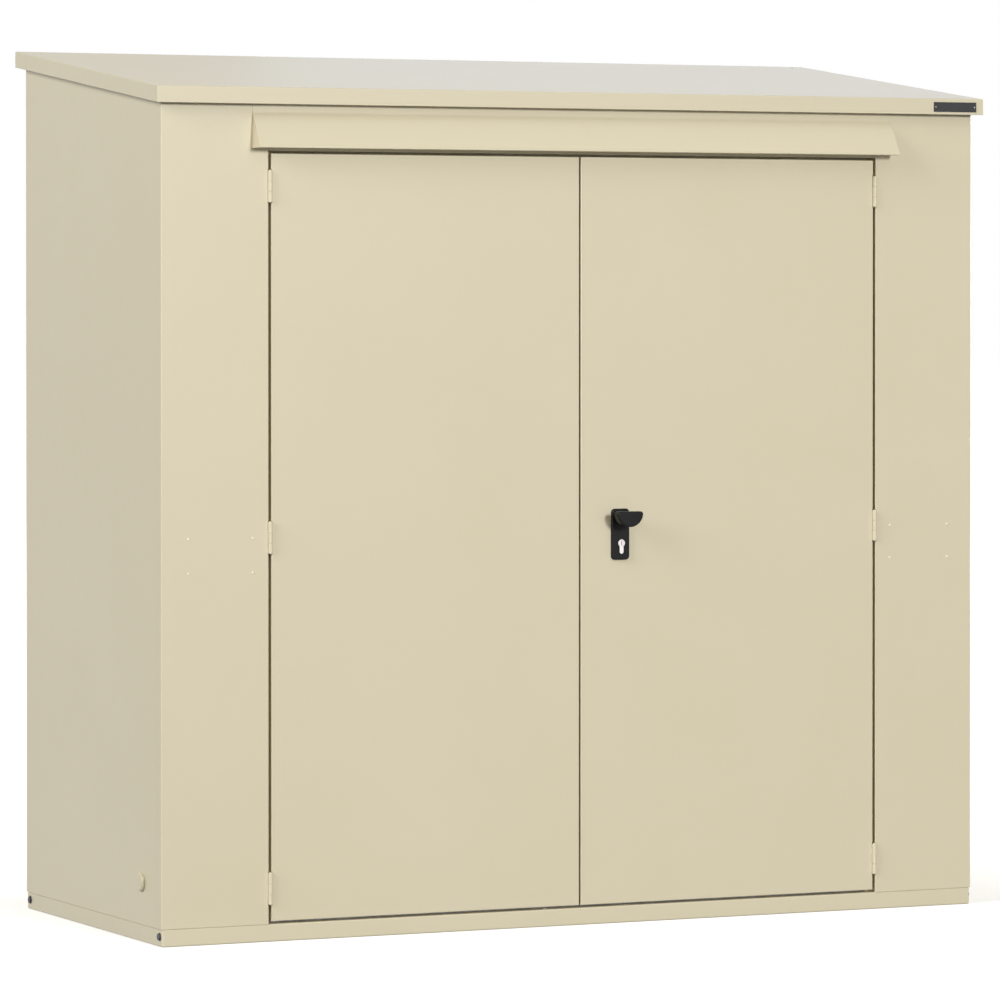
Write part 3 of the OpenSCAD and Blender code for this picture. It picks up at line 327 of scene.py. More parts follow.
def turned(name, start, direction, profile, sides=48):
    """A round piece drawn out along an axis: each pair is a distance and the radius there."""
    turns = {
        (0, 0, 1): (0, 0, 0), (0, 0, -1): (math.pi, 0, 0), (0, -1, 0): (math.pi / 2, 0, 0),
        (0, 1, 0): (-math.pi / 2, 0, 0), (1, 0, 0): (0, math.pi / 2, 0), (-1, 0, 0): (0, -math.pi / 2, 0)}
    way = Vector(direction)
    start = Vector(start)
    select_none()
    place, radius = profile[0]
    bpy.ops.mesh.primitive_circle_add(
        vertices=sides, radius=radius, fill_type="NGON",
        location=start + way * place, rotation=turns[direction])
    obj = settle(bpy.context.active_object, name)
    pick_all(obj)
    for next_place, next_radius in profile[1:]:
        extrude(way * (next_place - place))
        share = next_radius / radius
        bpy.ops.transform.resize(value=(share, share, share), center_override=start + way * next_place)
        place, radius = next_place, next_radius
    bpy.ops.mesh.select_all(action="SELECT")
    bpy.ops.mesh.normals_make_consistent(inside=False)
    done()
    return obj


# Walls
def is_upright(a, b, x, y):
    """An edge that stands at a place in the plan."""
    return near(a.x, x) and near(b.x, x) and near(a.y, y) and near(b.y, y)


def front_sheet():
    """Front panel: jamb with its stop lip on one side, corner return with its seam flange on the other."""
    obj = slab("front_sheet_right", (JAMB, FRONT, PLINTH), (SIDE, SEAM, ROOF_HIGH.z))
    drop_faces(obj, lambda c, n: abs(n.z) > 0.5 or n.y > 0.5)
    stop_y = FRONT + STOP_DEPTH
    shift_edges(obj, lambda a, b: is_upright(a, b, JAMB, SEAM), (0, stop_y - SEAM, 0))
    trim_to_roof(obj)
    slice_all(obj, (0, 0, DOORWAY_TOP), (0, 0, 1))
    beside_doorway = lambda a, b: is_upright(a, b, JAMB, stop_y) and a.z + b.z < 2 * DOORWAY_TOP
    fold_out(obj, beside_doorway, (-STOP_REACH, 0, 0))
    fold_out(obj, lambda a, b: is_upright(a, b, SIDE, SEAM), (-FLANGE, 0, 0))
    middle = ((JAMB + SIDE) / 2, FRONT, PLINTH)
    drawn_in = (0.97, 1, 1)
    on_front = lambda a, b: near(a.y, FRONT) and near(b.y, FRONT)
    fold_out(obj, lambda a, b: on_front(a, b) and near(a.z, PLINTH) and near(b.z, PLINTH),
        (0, FLANGE, 0), (drawn_in, middle))
    top = roof_under(FRONT)
    fold_out(obj, lambda a, b: on_front(a, b) and near(a.z, top) and near(b.z, top),
        (0, FLANGE, FLANGE * ROOF_SLOPE), (drawn_in, middle))
    round_edges(obj, lambda a, b: is_upright(a, b, JAMB, FRONT) or is_upright(a, b, SIDE, FRONT), WALL_BEND)
    round_edges(obj, lambda a, b: is_upright(a, b, SIDE, SEAM), SEAM_BEND, 3)
    round_edges(obj, beside_doorway, STOP_BEND, 3)
    return obj


def side_sheet():
    """Side panel with its two seam flanges, bottom flange and top flange."""
    inner = REAR_SEAM
    obj = slab("side_sheet_right", (inner, SEAM, PLINTH), (SIDE, BACK, ROOF_HIGH.z))
    drop_faces(obj, lambda c, n: abs(n.z) > 0.5 or n.x < -0.5)
    shift_edges(obj, lambda a, b: is_upright(a, b, inner, SEAM), (SIDE - FLANGE - inner, 0, 0))
    trim_to_roof(obj)
    fold_out(obj, lambda a, b: is_upright(a, b, inner, BACK), (0, -FLANGE, 0))
    on_side = lambda a, b: near(a.x, SIDE) and near(b.x, SIDE) and not near(a.y, b.y)
    middle = (SIDE, (SEAM + BACK) / 2, PLINTH)
    fold_out(obj, lambda a, b: on_side(a, b) and a.z < 1, (-FLANGE, 0, 0), ((1, 0.99, 1), middle))
    fold_out(obj, lambda a, b: on_side(a, b) and a.z > 1, (-FLANGE, 0, 0))
    round_edges(obj, lambda a, b: is_upright(a, b, SIDE, SEAM), SEAM_BEND, 3)
    round_edges(obj, lambda a, b: is_upright(a, b, SIDE, BACK), WALL_BEND)
    round_edges(obj, lambda a, b: is_upright(a, b, inner, BACK), SEAM_BEND, 3)
    return obj


def rear_sheet():
    """Rear panel, half the width of the shed, with a seam flange at each end."""
    spare = 0.1
    obj = slab("rear_sheet_right", (0, BACK - FLANGE, PLINTH), (REAR_SEAM, BACK, ROOF_HIGH.z + spare))
    drop_faces(obj, lambda c, n: abs(n.z) > 0.5 or n.y < -0.5)
    trim_to_roof(obj)
    on_back = lambda a, b: near(a.y, BACK) and near(b.y, BACK) and not near(a.x, b.x)
    squeeze = ((0.99, 1, 1), (REAR_SEAM / 2, BACK, PLINTH))
    fold_out(obj, lambda a, b: on_back(a, b) and a.z < 1, (0, -FLANGE, 0), squeeze)
    fold_out(obj, lambda a, b: on_back(a, b) and a.z > 1, (0, -FLANGE, -FLANGE * ROOF_SLOPE), squeeze)
    for x in (0, REAR_SEAM):
        round_edges(obj, lambda a, b: is_upright(a, b, x, BACK), SEAM_BEND, 3)
    return obj


def header_sheet():
    """Folded channel over the doors, with the lip that stops them."""
    front_bend = 0.0018
    upstand = 0.030
    stop_y = FRONT + STOP_DEPTH
    rear = stop_y + SHEET
    obj = slab("header_sheet", (-JAMB, FRONT, DOORWAY_TOP), (JAMB, rear, ROOF_HIGH.z))
    drop_faces(obj, lambda c, n: n.z > 0.5 or n.y > 0.5 or abs(n.x) > 0.5)
    trim_to_roof(obj)
    level = lambda a, b, y, z: near(a.y, y) and near(b.y, y) and near(a.z, z) and near(b.z, z)
    fold_out(obj, lambda a, b: level(a, b, rear, DOORWAY_TOP), (0, 0, upstand))
    fold_out(obj, lambda a, b: is_upright(a, b, JAMB, FRONT) or is_upright(a, b, -JAMB, FRONT),
        (0, FLANGE, 0))
    top = roof_under(FRONT)
    fold_out(obj, lambda a, b: level(a, b, FRONT, top), (0, FLANGE, FLANGE * ROOF_SLOPE),
        ((0.99, 1, 1), (0, FRONT, top)))
    round_edges(obj, lambda a, b: level(a, b, FRONT, DOORWAY_TOP), front_bend)
    round_edges(obj, lambda a, b: level(a, b, rear, DOORWAY_TOP), STOP_BEND, 3)
    face_out(obj, (0, -1, 0))
    thicken(obj)
    reach = JAMB - STOP_REACH
    lip = slab("lip", (-reach, stop_y, DOORWAY_TOP - STOP_REACH), (reach, rear, DOORWAY_TOP + SHEET))
    soft_edges(lip, 0.0004, 2)
    add_to(obj, [lip])
    bore(obj, (UPPER_ROD_X, ROD_Y, DOORWAY_TOP), "Z", ROD_HOLE + FRAME_SPARE, 5 * SHEET)
    bore(obj, (BOLT_X, ROD_Y, DOORWAY_TOP), "Z", BOLT_HOLE + FRAME_SPARE, 5 * SHEET)
    return obj


def hood_sheet():
    """Rain hood: hem, sloping face, flat strip and closed ends, folded from one sheet."""
    hem = 0.004
    rise = 0.076
    crease = 0.003
    hem_bend = 0.0010
    strip_y = FRONT - SHEET
    reach = HOOD_HIGH.x
    obj = slab("hood_sheet", (-reach, HOOD_LOW.y, HOOD_LOW.z), (reach, FRONT, HOOD_LOW.z + hem))
    pick(obj, "FACE", lambda c, n: n.z > 0.5)
    extrude((0, 0, rise))
    done()
    fold_z = HOOD_LOW.z + hem + rise
    shift_edges(obj, lambda a, b: near(a.z, fold_z) and near(b.z, fold_z)
        and near(a.y, HOOD_LOW.y) and near(b.y, HOOD_LOW.y), (0, strip_y - HOOD_LOW.y, 0))
    pick(obj, "FACE", lambda c, n: n.z > 0.5 and near(c.z, fold_z))
    extrude((0, 0, HOOD_HIGH.z - fold_z))
    done()
    drop_faces(obj, lambda c, n: n.y > 0.9 or near(c.z, HOOD_HIGH.z)
        or (c.z > fold_z and abs(n.x) > 0.5))
    long_edge = lambda a, b, z: near(a.z, z) and near(b.z, z) and near(a.y, b.y) and not near(a.x, b.x)
    round_edges(obj, lambda a, b: long_edge(a, b, fold_z) and near(a.y, strip_y), crease, 5)
    round_edges(obj, lambda a, b: long_edge(a, b, HOOD_LOW.z + hem) and near(a.y, HOOD_LOW.y), hem_bend, 3)
    at_end = lambda a, b: near(abs(a.x), reach) and near(a.x, b.x)
    under_crease = fold_z - 0.001
    hem_end = lambda a, b: at_end(a, b) and max(a.z, b.z) < under_crease and near(a.y, b.y)
    round_edges(obj, lambda a, b: (long_edge(a, b, HOOD_LOW.z) and near(a.y, HOOD_LOW.y))
        or (hem_end(a, b) and not near(a.y, FRONT)), hem_bend, 3)
    face_out(obj, (0, 0, -1))
    thicken(obj)
    return obj


def roof_sheet():
    """Roof: one sheet with its edges turned down and under all round."""
    turned_under = 0.012
    top_bend = 0.0025
    foot_bend = 0.0014
    obj = slab("roof_sheet", ROOF_LOW, (ROOF_HIGH.x, ROOF_HIGH.y, ROOF_FRONT_TOP))
    rise = (ROOF_HIGH.y - ROOF_LOW.y) * ROOF_SLOPE
    pick(obj, "VERT", lambda c: c.y > 0)
    bpy.ops.transform.translate(value=(0, 0, rise))
    done()
    pick(obj, "FACE", lambda c, n: n.z < -0.5)
    bpy.ops.mesh.inset(thickness=turned_under)
    bpy.ops.mesh.delete(type="FACE")
    done()
    centre_z = lambda y: ROOF_FRONT_TOP + (y - ROOF_LOW.y) * ROOF_SLOPE - LIP / 2
    outer = lambda p: near(abs(p.x), ROOF_HIGH.x) or near(p.y, ROOF_LOW.y) or near(p.y, ROOF_HIGH.y)
    upper = lambda p: p.z > centre_z(p.y)
    round_edges(obj, lambda a, b: outer(a) and outer(b) and upper(a) and upper(b), top_bend)
    round_edges(obj, lambda a, b: outer(a) and outer(b) and not upper(a) and not upper(b)
        and (near(a.x, b.x) or near(a.y, b.y)), foot_bend, 3)
    face_out(obj, (0, 0, 1))
    thicken(obj)
    return obj


def door_sheet():
    """Door: a tray with rounded front edges and lips round its open back."""
    lip = 0.018
    front_bend = 0.0020
    back_bend = 0.0012
    obj = slab("door_sheet_right", DOOR_LOW, DOOR_HIGH)
    pick(obj, "FACE", lambda c, n: n.y > 0.5)
    bpy.ops.mesh.inset(thickness=lip)
    bpy.ops.mesh.delete(type="FACE")
    done()
    round_edges(obj, lambda a, b: near(a.y, FRONT) and near(b.y, FRONT), front_bend)
    outer = lambda p: (near(p.x, DOOR_LOW.x) or near(p.x, DOOR_HIGH.x)
        or near(p.z, DOOR_LOW.z) or near(p.z, DOOR_HIGH.z))
    at_back = lambda p: near(p.y, DOOR_HIGH.y)
    round_edges(obj, lambda a, b: at_back(a) and at_back(b) and outer(a) and outer(b), back_bend, 3)
    return obj


def floor_sheet():
    """Floor tray: top, four skirts and a folded foot, with its anchor holes."""
    sheet = 0.002
    foot = 0.020
    bend = 0.0036
    anchor_x = 0.9
    anchor_y = 0.3
    anchor_r = 0.0065
    obj = slab("floor_sheet", FLOOR_LOW, FLOOR_HIGH)
    pick(obj, "FACE", lambda c, n: n.z < -0.5)
    bpy.ops.mesh.inset(thickness=foot)
    bpy.ops.mesh.delete(type="FACE")
    done()
    outer = lambda p: near(abs(p.x), FLOOR_HIGH.x) or near(p.y, FLOOR_LOW.y) or near(p.y, FLOOR_HIGH.y)
    round_edges(obj, lambda a, b: outer(a) and outer(b), bend)
    face_out(obj, (0, 0, 1))
    thicken(obj, sheet)
    for x in (-anchor_x, anchor_x):
        for y in (-anchor_y, anchor_y):
            bore(obj, (x, y, FLOOR_HIGH.z), "Z", anchor_r, SHORT_CUT)
    bore(obj, (LOWER_ROD_X, ROD_Y, FLOOR_HIGH.z), "Z", ROD_HOLE + FRAME_SPARE, SHORT_CUT)
    bore(obj, (BOLT_X, ROD_Y, FLOOR_HIGH.z), "Z", BOLT_HOLE + FRAME_SPARE, SHORT_CUT)
    return obj


def notch_for_hinges(obj, side):
    """Cut the knuckles' notches in the edge beside the hinges."""
    spare = 0.005
    for height in HINGE_HEIGHTS:
        bore(obj, (side * HINGE_X, HINGE_Y, height), "Z", NOTCH_R, 2 * HINGE_HALF + spare, 48)


# Hinges
def hinge_barrel(name, low, high):
    """A rolled knuckle with softened ends."""
    rim = 0.0006
    return turned(name, (HINGE_X, HINGE_Y, 0), (0, 0, 1), [
        (low, KNUCKLE_R - rim), (low + rim, KNUCKLE_R),
        (high - rim, KNUCKLE_R), (high, KNUCKLE_R - rim)], 32)


def frame_hinge(height):
    """Leaf on the jamb with the upper and lower knuckles."""
    leaf = slab("frame_hinge",
        (JAMB - LEAF, HINGE_Y, height - HINGE_HALF), (JAMB, LEAF_BACK, height + HINGE_HALF))
    bore(leaf, (HINGE_X, HINGE_Y, height), "Z", NOTCH_R, 2 * KNUCKLE_HALF)
    upper = hinge_barrel("upper", height + KNUCKLE_HALF, height + HINGE_HALF)
    lower = hinge_barrel("lower", height - HINGE_HALF, height - KNUCKLE_HALF)
    return add_to(leaf, [upper, lower])


def door_hinge(height):
    """Leaf on the door's edge with the middle knuckle."""
    leaf = slab("door_hinge",
        (DOOR_HIGH.x, HINGE_Y, height - HINGE_HALF), (DOOR_HIGH.x + LEAF, LEAF_BACK, height + HINGE_HALF))
    end_play = 0.0003
    past = 0.0001
    half = KNUCKLE_HALF - end_play
    bite_length = HINGE_HALF - half + past
    for side in (-1, 1):
        middle = height + side * (half + bite_length / 2)
        bore(leaf, (HINGE_X, HINGE_Y, middle), "Z", NOTCH_R, bite_length)
    return add_to(leaf, [hinge_barrel("middle", height - half, height + half)])


def hinge_pin(height):
    """A pin with a low dome at each end."""
    pin_r = 0.0025
    dome = [(0, 0.0034), (0.0004, 0.0034), (0.0011, 0.0030), (0.0015, 0.0022)]
    foot = [(-HINGE_HALF - rise, radius) for rise, radius in reversed(dome)]
    shank = [(-HINGE_HALF, pin_r), (HINGE_HALF, pin_r)]
    top = [(HINGE_HALF + rise, radius) for rise, radius in dome]
    return turned("hinge_pin", (HINGE_X, HINGE_Y, height), (0, 0, 1), foot + shank + top, 32)


# Lock
def lock_plate():
    """Outer plate with rounded corners, a softened rim and its two holes."""
    corner = 0.009
    rim = 0.0026
    neck_hole = 0.0083
    profile_spare = 0.0009
    obj = slab("lock_plate_black", PLATE_LOW, PLATE_HIGH)
    round_edges(obj, lambda a, b: near(a.x, b.x) and near(a.z, b.z), corner, 10)
    round_edges(obj, lambda a, b: near(a.y, PLATE_LOW.y) and near(b.y, PLATE_LOW.y), rim, 5)
    middle = (PLATE_LOW.y + PLATE_HIGH.y) / 2
    profile_hole(obj, middle, LONG_CUT, profile_spare)
    bore(obj, (LOCK_X, middle, SPINDLE_Z), "Y", neck_hole, LONG_CUT)
    return obj


def profile_hole(obj, y, length, spare):
    """Cut the key cylinder's outline, a circle with a round-ended stem below it."""
    bore(obj, (LOCK_X, y, CYLINDER_Z), "Y", CYLINDER_R + spare, length, 48)
    half = STEM_HALF + spare
    carve(obj, slab("cutter", (LOCK_X - half, y - length / 2, CYLINDER_Z - STEM_DROP),
        (LOCK_X + half, y + length / 2, CYLINDER_Z)))
    bore(obj, (LOCK_X, y, CYLINDER_Z - STEM_DROP), "Y", half, length, 48)


def key_cylinder():
    """Profile cylinder body with its plug's bore and the slot for the cam."""
    plug_hole = 0.00655
    slot_half = 0.005
    slot_drop = 0.0155
    low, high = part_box("key_cylinder")
    middle = (low.y + high.y) / 2
    length = high.y - low.y
    obj = rod("key_cylinder_body", (LOCK_X, middle, CYLINDER_Z), "Y", CYLINDER_R, length, 64)
    stem = slab("stem", (LOCK_X - STEM_HALF, low.y, CYLINDER_Z - STEM_DROP),
        (LOCK_X + STEM_HALF, high.y, CYLINDER_Z))
    foot = rod("foot", (LOCK_X, middle, CYLINDER_Z - STEM_DROP), "Y", STEM_HALF, length, 48)
    for part in (stem, foot):
        apply_modifier(obj, "BOOLEAN", {"operation": "UNION", "object": part, "solver": "EXACT"})
        bpy.data.objects.remove(part)
    soft_edges(obj, 0.0005, 3, 50)
    bore(obj, (LOCK_X, middle, CYLINDER_Z), "Y", plug_hole, 3 * LONG_CUT, 48)
    carve(obj, slab("cutter", (LOCK_X - LONG_CUT, middle - slot_half, CYLINDER_Z - slot_drop),
        (LOCK_X + LONG_CUT, middle + slot_half, CYLINDER_Z + LONG_CUT)))
    return obj


def key_plug():
    """Turning plug with a keyway at each end and its cam."""
    keyway_half = 0.0008
    keyway_reach = 0.00425
    keyway_depth = 0.012
    past = 0.002
    cam_half = 0.004
    cam_drop = 0.0135
    hub_t = 0.009
    low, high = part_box("cylinder_plug")
    middle = (low.y + high.y) / 2
    length = high.y - low.y
    obj = turned("key_plug_turned", (LOCK_X, low.y, CYLINDER_Z), (0, 1, 0), [
        (0, 0.0060), (0.0004, 0.0064), (length - 0.0004, 0.0064), (length, 0.0060)], 48)
    for start, end in ((low.y - past, low.y + keyway_depth), (high.y - keyway_depth, high.y + past)):
        carve(obj, slab("cutter", (LOCK_X - keyway_half, start, CYLINDER_Z - keyway_reach),
            (LOCK_X + keyway_half, end, CYLINDER_Z + keyway_reach)))
    hub = rod("hub", (LOCK_X, middle, CYLINDER_Z), "Y", 0.008, hub_t, 40)
    cam = slab("cam", (LOCK_X - cam_half, middle - hub_t / 2, CYLINDER_Z - cam_drop),
        (LOCK_X + cam_half, middle + hub_t / 2, CYLINDER_Z))
    pick_all(cam)
    bpy.ops.transform.rotate(value=math.radians(30), orient_axis="Y",
        center_override=(LOCK_X, middle, CYLINDER_Z))
    done()
    for part in (hub, cam):
        soft_edges(part, 0.0003, 2)
    return add_to(obj, [hub, cam])


def grip():
    """Half-round grip, flat edge up, with a well rounded rim, and its neck."""
    radius = (GRIP_HIGH.x - GRIP_LOW.x) / 2
    front = GRIP_LOW.y
    depth = 0.022
    corner = 0.006
    rise = 0.003
    face_rim = 0.0045
    back_rim = 0.0025
    bite = 0.001
    end_clear = 0.0005
    top = GRIP_HIGH.z
    centre_z = top - rise
    corner_z = top - corner
    corner_x = math.sqrt((radius - corner) ** 2 - (centre_z - corner_z) ** 2)
    dip = math.atan2(centre_z - corner_z, corner_x)
    obj = slab("grip_black", (LOCK_X - corner_x, front, top), (LOCK_X, front + depth, top + 0.01))
    pick(obj, "VERT", lambda c: not (near(c.x, LOCK_X - corner_x) and near(c.y, front) and near(c.z, top)))
    bpy.ops.mesh.delete(type="VERT")
    bpy.ops.mesh.select_all(action="SELECT")
    for centre, turn, steps in (
            ((LOCK_X - corner_x, front, corner_z), math.pi / 2 + dip, 10),
            ((LOCK_X, front, centre_z), math.pi - 2 * dip, 56),
            ((LOCK_X + corner_x, front, corner_z), math.pi / 2 + dip, 10)):
        bpy.ops.mesh.spin(steps=steps, angle=turn, center=centre, axis=(0, 1, 0))
    bpy.ops.mesh.select_all(action="SELECT")
    bpy.ops.mesh.edge_face_add()
    extrude((0, depth, 0))
    done()
    face_out(obj, (0, -1, 0))
    round_edges(obj, lambda a, b: near(a.y, front) and near(b.y, front), face_rim, 6)
    round_edges(obj, lambda a, b: near(a.y, front + depth) and near(b.y, front + depth), back_rim, 4)
    start = front + depth - bite
    length = PLATE_LOW.y - end_clear - start
    neck = turned("neck", (LOCK_X, start, SPINDLE_Z), (0, 1, 0), [
        (0, 0.0132), (0.0015, 0.0126), (length - 0.001, 0.0115), (length, 0.0110), (length, 0.008),
        (length + 0.0075, 0.008)], 48)
    return add_to(obj, [neck])


def inner_handle():
    """Short T handle inside the right door."""
    low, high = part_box("inner_handle")
    bar_t = 0.012
    bar_end = 0.006
    bar = slab("inner_handle_black", (low.x, high.y - bar_t, low.z), high)
    middle_z = (low.z + high.z) / 2
    round_edges(bar, lambda a, b: near(a.x, b.x) and near(a.z, b.z), bar_end, 6)
    soft_edges(bar, 0.0015, 3)
    hub = turned("hub", (LOCK_X, low.y, middle_z), (0, 1, 0), [
        (0, 0.008), (0.0005, 0.008), (0.0005, 0.0115), (0.001, 0.012), (0.018, 0.012), (0.020, 0.0135)], 40)
    return add_to(bar, [hub])


# Small parts
def side_cap():
    """Low round cap in the left wall, with a softened shoulder."""
    low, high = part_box("side_cap")
    centre = (-SIDE, (low.y + high.y) / 2, (low.z + high.z) / 2)
    return turned("side_cap_round", centre, (-1, 0, 0), [
        (-0.006, 0.0168), (0, 0.0170), (0, 0.0206), (0.0004, 0.0210), (0.0036, 0.0210), (0.0046, 0.0206),
        (0.0062, 0.0192), (0.0074, 0.0174), (0.0080, 0.0152)], 64)


def plinth_bolt(y):
    """Hexagon bolt on its washer, standing on the skirt."""
    place = (-FLOOR_HIGH.x, y, PLINTH_BOLT_Z)
    washer = turned("plinth_bolt", place, (-1, 0, 0), [
        (0, 0.0095), (0.0009, 0.0095), (0.0012, 0.0092)], 40)
    head = turned("head", place, (-1, 0, 0), [(0.0012, 0.0080), (0.0039, 0.0080), (0.0045, 0.0070)], 6)
    shank = turned("shank", place, (1, 0, 0), [(0, 0.004), (0.0105, 0.004), (0.011, 0.0035)], 24)
    return add_to(washer, [head, shank])


def rivet(x, z):
    """Low dome riveted through the front panel."""
    return turned("rivet", (x, FRONT + 0.0047, z), (0, -1, 0), [
        (0, 0.0030), (0.0015, RIVET_R), (0.0015, 0.0024), (0.0047, 0.0024), (0.0047, 0.0031),
        (0.0050, RIVET_R), (0.0054, 0.0030), (0.0058, 0.0024), (0.0061, 0.0012)], 24)


def name_plate():
    """Blank plate on the roof's lip, with a narrow raised border."""
    border = 0.0018
    sunk = 0.0003
    obj = slab("name_plate_blank", BADGE_LOW, BADGE_HIGH)
    pick(obj, "FACE", lambda c, n: n.y < -0.5)
    bpy.ops.mesh.inset(thickness=border)
    extrude((0, sunk, 0))
    done()
    soft_edges(obj, 0.0004, 2)
    return obj


def plate_rivet(x):
    """Tiny rivet that holds the blank plate."""
    z = (BADGE_LOW.z + BADGE_HIGH.z) / 2
    return turned("plate_rivet", (x, BADGE_LOW.y, z), (0, -1, 0), [
        (-0.0035, 0.0010), (0, 0.0010), (0, 0.0014), (0.0002, 0.0014), (0.0004, 0.0010),
        (0.0005, 0.0005)], 20)


def middle_strip():
    """Rubber strip between the doors, with softened edges."""
    low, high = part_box("middle_strip")
    obj = slab("middle_strip_rubber", low, high)
    soft_edges(obj, 0.0006, 3)
    return obj


# Finishes
class Amount:
    """A number on a socket, which plain arithmetic works on."""

    def __init__(self, finish, socket):
        self.finish = finish
        self.socket = socket

    def __add__(self, other):
        return self.finish.result("ADD", self, other)

    def __radd__(self, other):
        return self.finish.result("ADD", other, self)

    def __sub__(self, other):
        return self.finish.result("SUBTRACT", self, other)

    def __rsub__(self, other):
        return self.finish.result("SUBTRACT", other, self)

    def __mul__(self, other):
        return self.finish.result("MULTIPLY", self, other)

    def __rmul__(self, other):
        return self.finish.result("MULTIPLY", other, self)

    def __pow__(self, other):
        return self.finish.result("POWER", self, other)


class Finish:
    """A material, or the world, built node by node."""

    def __init__(self, owner):
        self.owner = owner
        owner.use_nodes = True
        self.tree = owner.node_tree
        self.tree.nodes.clear()

    def node(self, kind, settings, values, output=0):
        """Add a node, with its settings first and then what its sockets take."""
        made = self.tree.nodes.new(kind)
        for key, value in settings.items():
            if key == "stops":
                for spare in list(made.color_ramp.elements)[2:]:
                    made.color_ramp.elements.remove(spare)
                for count, (place, colour) in enumerate(value):
                    if count < 2:
                        stop = made.color_ramp.elements[count]
                    else:
                        stop = made.color_ramp.elements.new(place)
                    stop.position = place
                    stop.color = (*colour, 1)
            else:
                setattr(made, key, value)
        for key, value in values.items():
            if isinstance(value, Amount):
                self.tree.links.new(value.socket, made.inputs[key])
            else:
                made.inputs[key].default_value = value
        if not made.outputs:
            return None
        return Amount(self, made.outputs[output])

    def result(self, operation, first, second):
        return self.node("ShaderNodeMath", {"operation": operation}, {0: first, 1: second})

    def place(self):
        """Where a point lies on its own object."""
        return self.node("ShaderNodeTexCoord", {}, {}, "Object")

    def noise(self, scale, detail=3.0, roughness=0.5):
        return self.node("ShaderNodeTexNoise", {}, {
            "Vector": self.place(), "Scale": scale, "Detail": detail, "Roughness": roughness})

    def stretched_noise(self, stretch, scale, detail=3.0):
        place = self.node("ShaderNodeMapping", {}, {"Vector": self.place(), "Scale": stretch})
        return self.node("ShaderNodeTexNoise", {}, {"Vector": place, "Scale": scale, "Detail": detail})

    def mixed(self, mask, first, second):
        """A colour between two, by a mask."""
        first = first if isinstance(first, Amount) else (*first, 1)
        second = second if isinstance(second, Amount) else (*second, 1)
        return self.node("ShaderNodeMix", {"data_type": "RGBA"}, {0: mask, 6: first, 7: second}, 2)

    def bump(self, height, strength):
        return self.node("ShaderNodeBump", {}, {"Height": height, "Strength": strength, "Distance": 1.0})

    def finish(self, sockets):
        """The surface itself, from what its sockets take."""
        surface = self.node("ShaderNodeBsdfPrincipled", {}, sockets)
        self.node("ShaderNodeOutputMaterial", {}, {"Surface": surface})
        return self.owner


def new_finish(name):
    return Finish(bpy.data.materials.new(name))


def cream_powder_coat():
    """Baked powder coat on sheet: faint mottling, orange peel and the sheet's slow waviness."""
    f = new_finish("cream_powder_coat")
    mottle = f.noise(3.5, 2.0)
    cloud = f.noise(26.0, 3.0)
    peel = f.noise(850.0, 2.0, 0.6)
    wave = f.stretched_noise((1.0, 1.0, 0.45), 2.2, 1.0)
    base = f.mixed(mottle, (0.676, 0.616, 0.446), (0.702, 0.644, 0.478))
    base = f.mixed(cloud * 0.25, base, (0.658, 0.595, 0.428))
    height = peel * 0.000020 + wave * 0.0006
    return f.finish({
        "Base Color": base, "Roughness": 0.32 + cloud * 0.05, "IOR": 1.50,
        "Normal": f.bump(height, 0.6)})


def galvanised_sheet():
    """Zinc spangle: crystals a centimetre across, each with its own grey and gloss."""
    f = new_finish("galvanised_sheet")
    crystal = f.node("ShaderNodeTexVoronoi", {}, {"Vector": f.place(), "Scale": 95.0}, "Color")
    tone = f.node("ShaderNodeSeparateColor", {}, {"Color": crystal}, 0)
    cloud = f.noise(14.0, 4.0)
    base = f.mixed(tone * 0.7 + cloud * 0.3, (0.40, 0.42, 0.44), (0.62, 0.64, 0.66))
    grain = f.noise(420.0, 2.0)
    return f.finish({
        "Base Color": base, "Metallic": 0.85, "Roughness": 0.36 + tone * 0.14,
        "Normal": f.bump(grain * 0.00003, 0.5)})


def zinc_plated_steel():
    """Bright zinc plate with a faint yellow and blue bloom and fine turning marks."""
    f = new_finish("zinc_plated_steel")
    bloom = f.noise(55.0, 3.0)
    tints = [(0.30, (0.60, 0.62, 0.66)), (0.52, (0.68, 0.68, 0.67)), (0.72, (0.70, 0.66, 0.55))]
    base = f.node("ShaderNodeValToRGB", {"stops": tints}, {"Fac": bloom})
    marks = f.noise(900.0, 2.0)
    return f.finish({
        "Base Color": base, "Metallic": 0.95, "Roughness": 0.26 + bloom * 0.12,
        "Normal": f.bump(marks * 0.00002, 0.5)})


def dulled_zinc():
    """Zinc gone matt and a little warm on the rivets that face the weather."""
    f = new_finish("dulled_zinc")
    bloom = f.noise(240.0, 3.0)
    base = f.mixed(bloom, (0.66, 0.61, 0.54), (0.72, 0.67, 0.60))
    return f.finish({
        "Base Color": base, "Metallic": 0.35, "Roughness": 0.50 + bloom * 0.08,
        "Normal": f.bump(f.noise(900.0, 2.0) * 0.00002, 0.5)})


def blackened_steel():
    """Dark oxide on the plinth's bolts, rubbed a little brighter in places."""
    f = new_finish("blackened_steel")
    rub = f.noise(160.0, 4.0)
    base = f.mixed(rub, (0.040, 0.040, 0.048), (0.105, 0.105, 0.120))
    return f.finish({
        "Base Color": base, "Metallic": 0.55, "Roughness": 0.38 + rub * 0.14,
        "Normal": f.bump(f.noise(700.0, 2.0) * 0.00004, 0.5)})


def black_lacquer():
    """Satin black lacquer with a fine grain."""
    f = new_finish("black_lacquer")
    grain = f.noise(1100.0, 2.0, 0.6)
    cloud = f.noise(60.0, 2.0)
    base = f.mixed(cloud, (0.003, 0.003, 0.0035), (0.006, 0.006, 0.0065))
    return f.finish({
        "Base Color": base, "Roughness": 0.36 + cloud * 0.08, "IOR": 1.36, "Specular IOR Level": 0.3,
        "Normal": f.bump(grain * 0.00004, 0.6)})


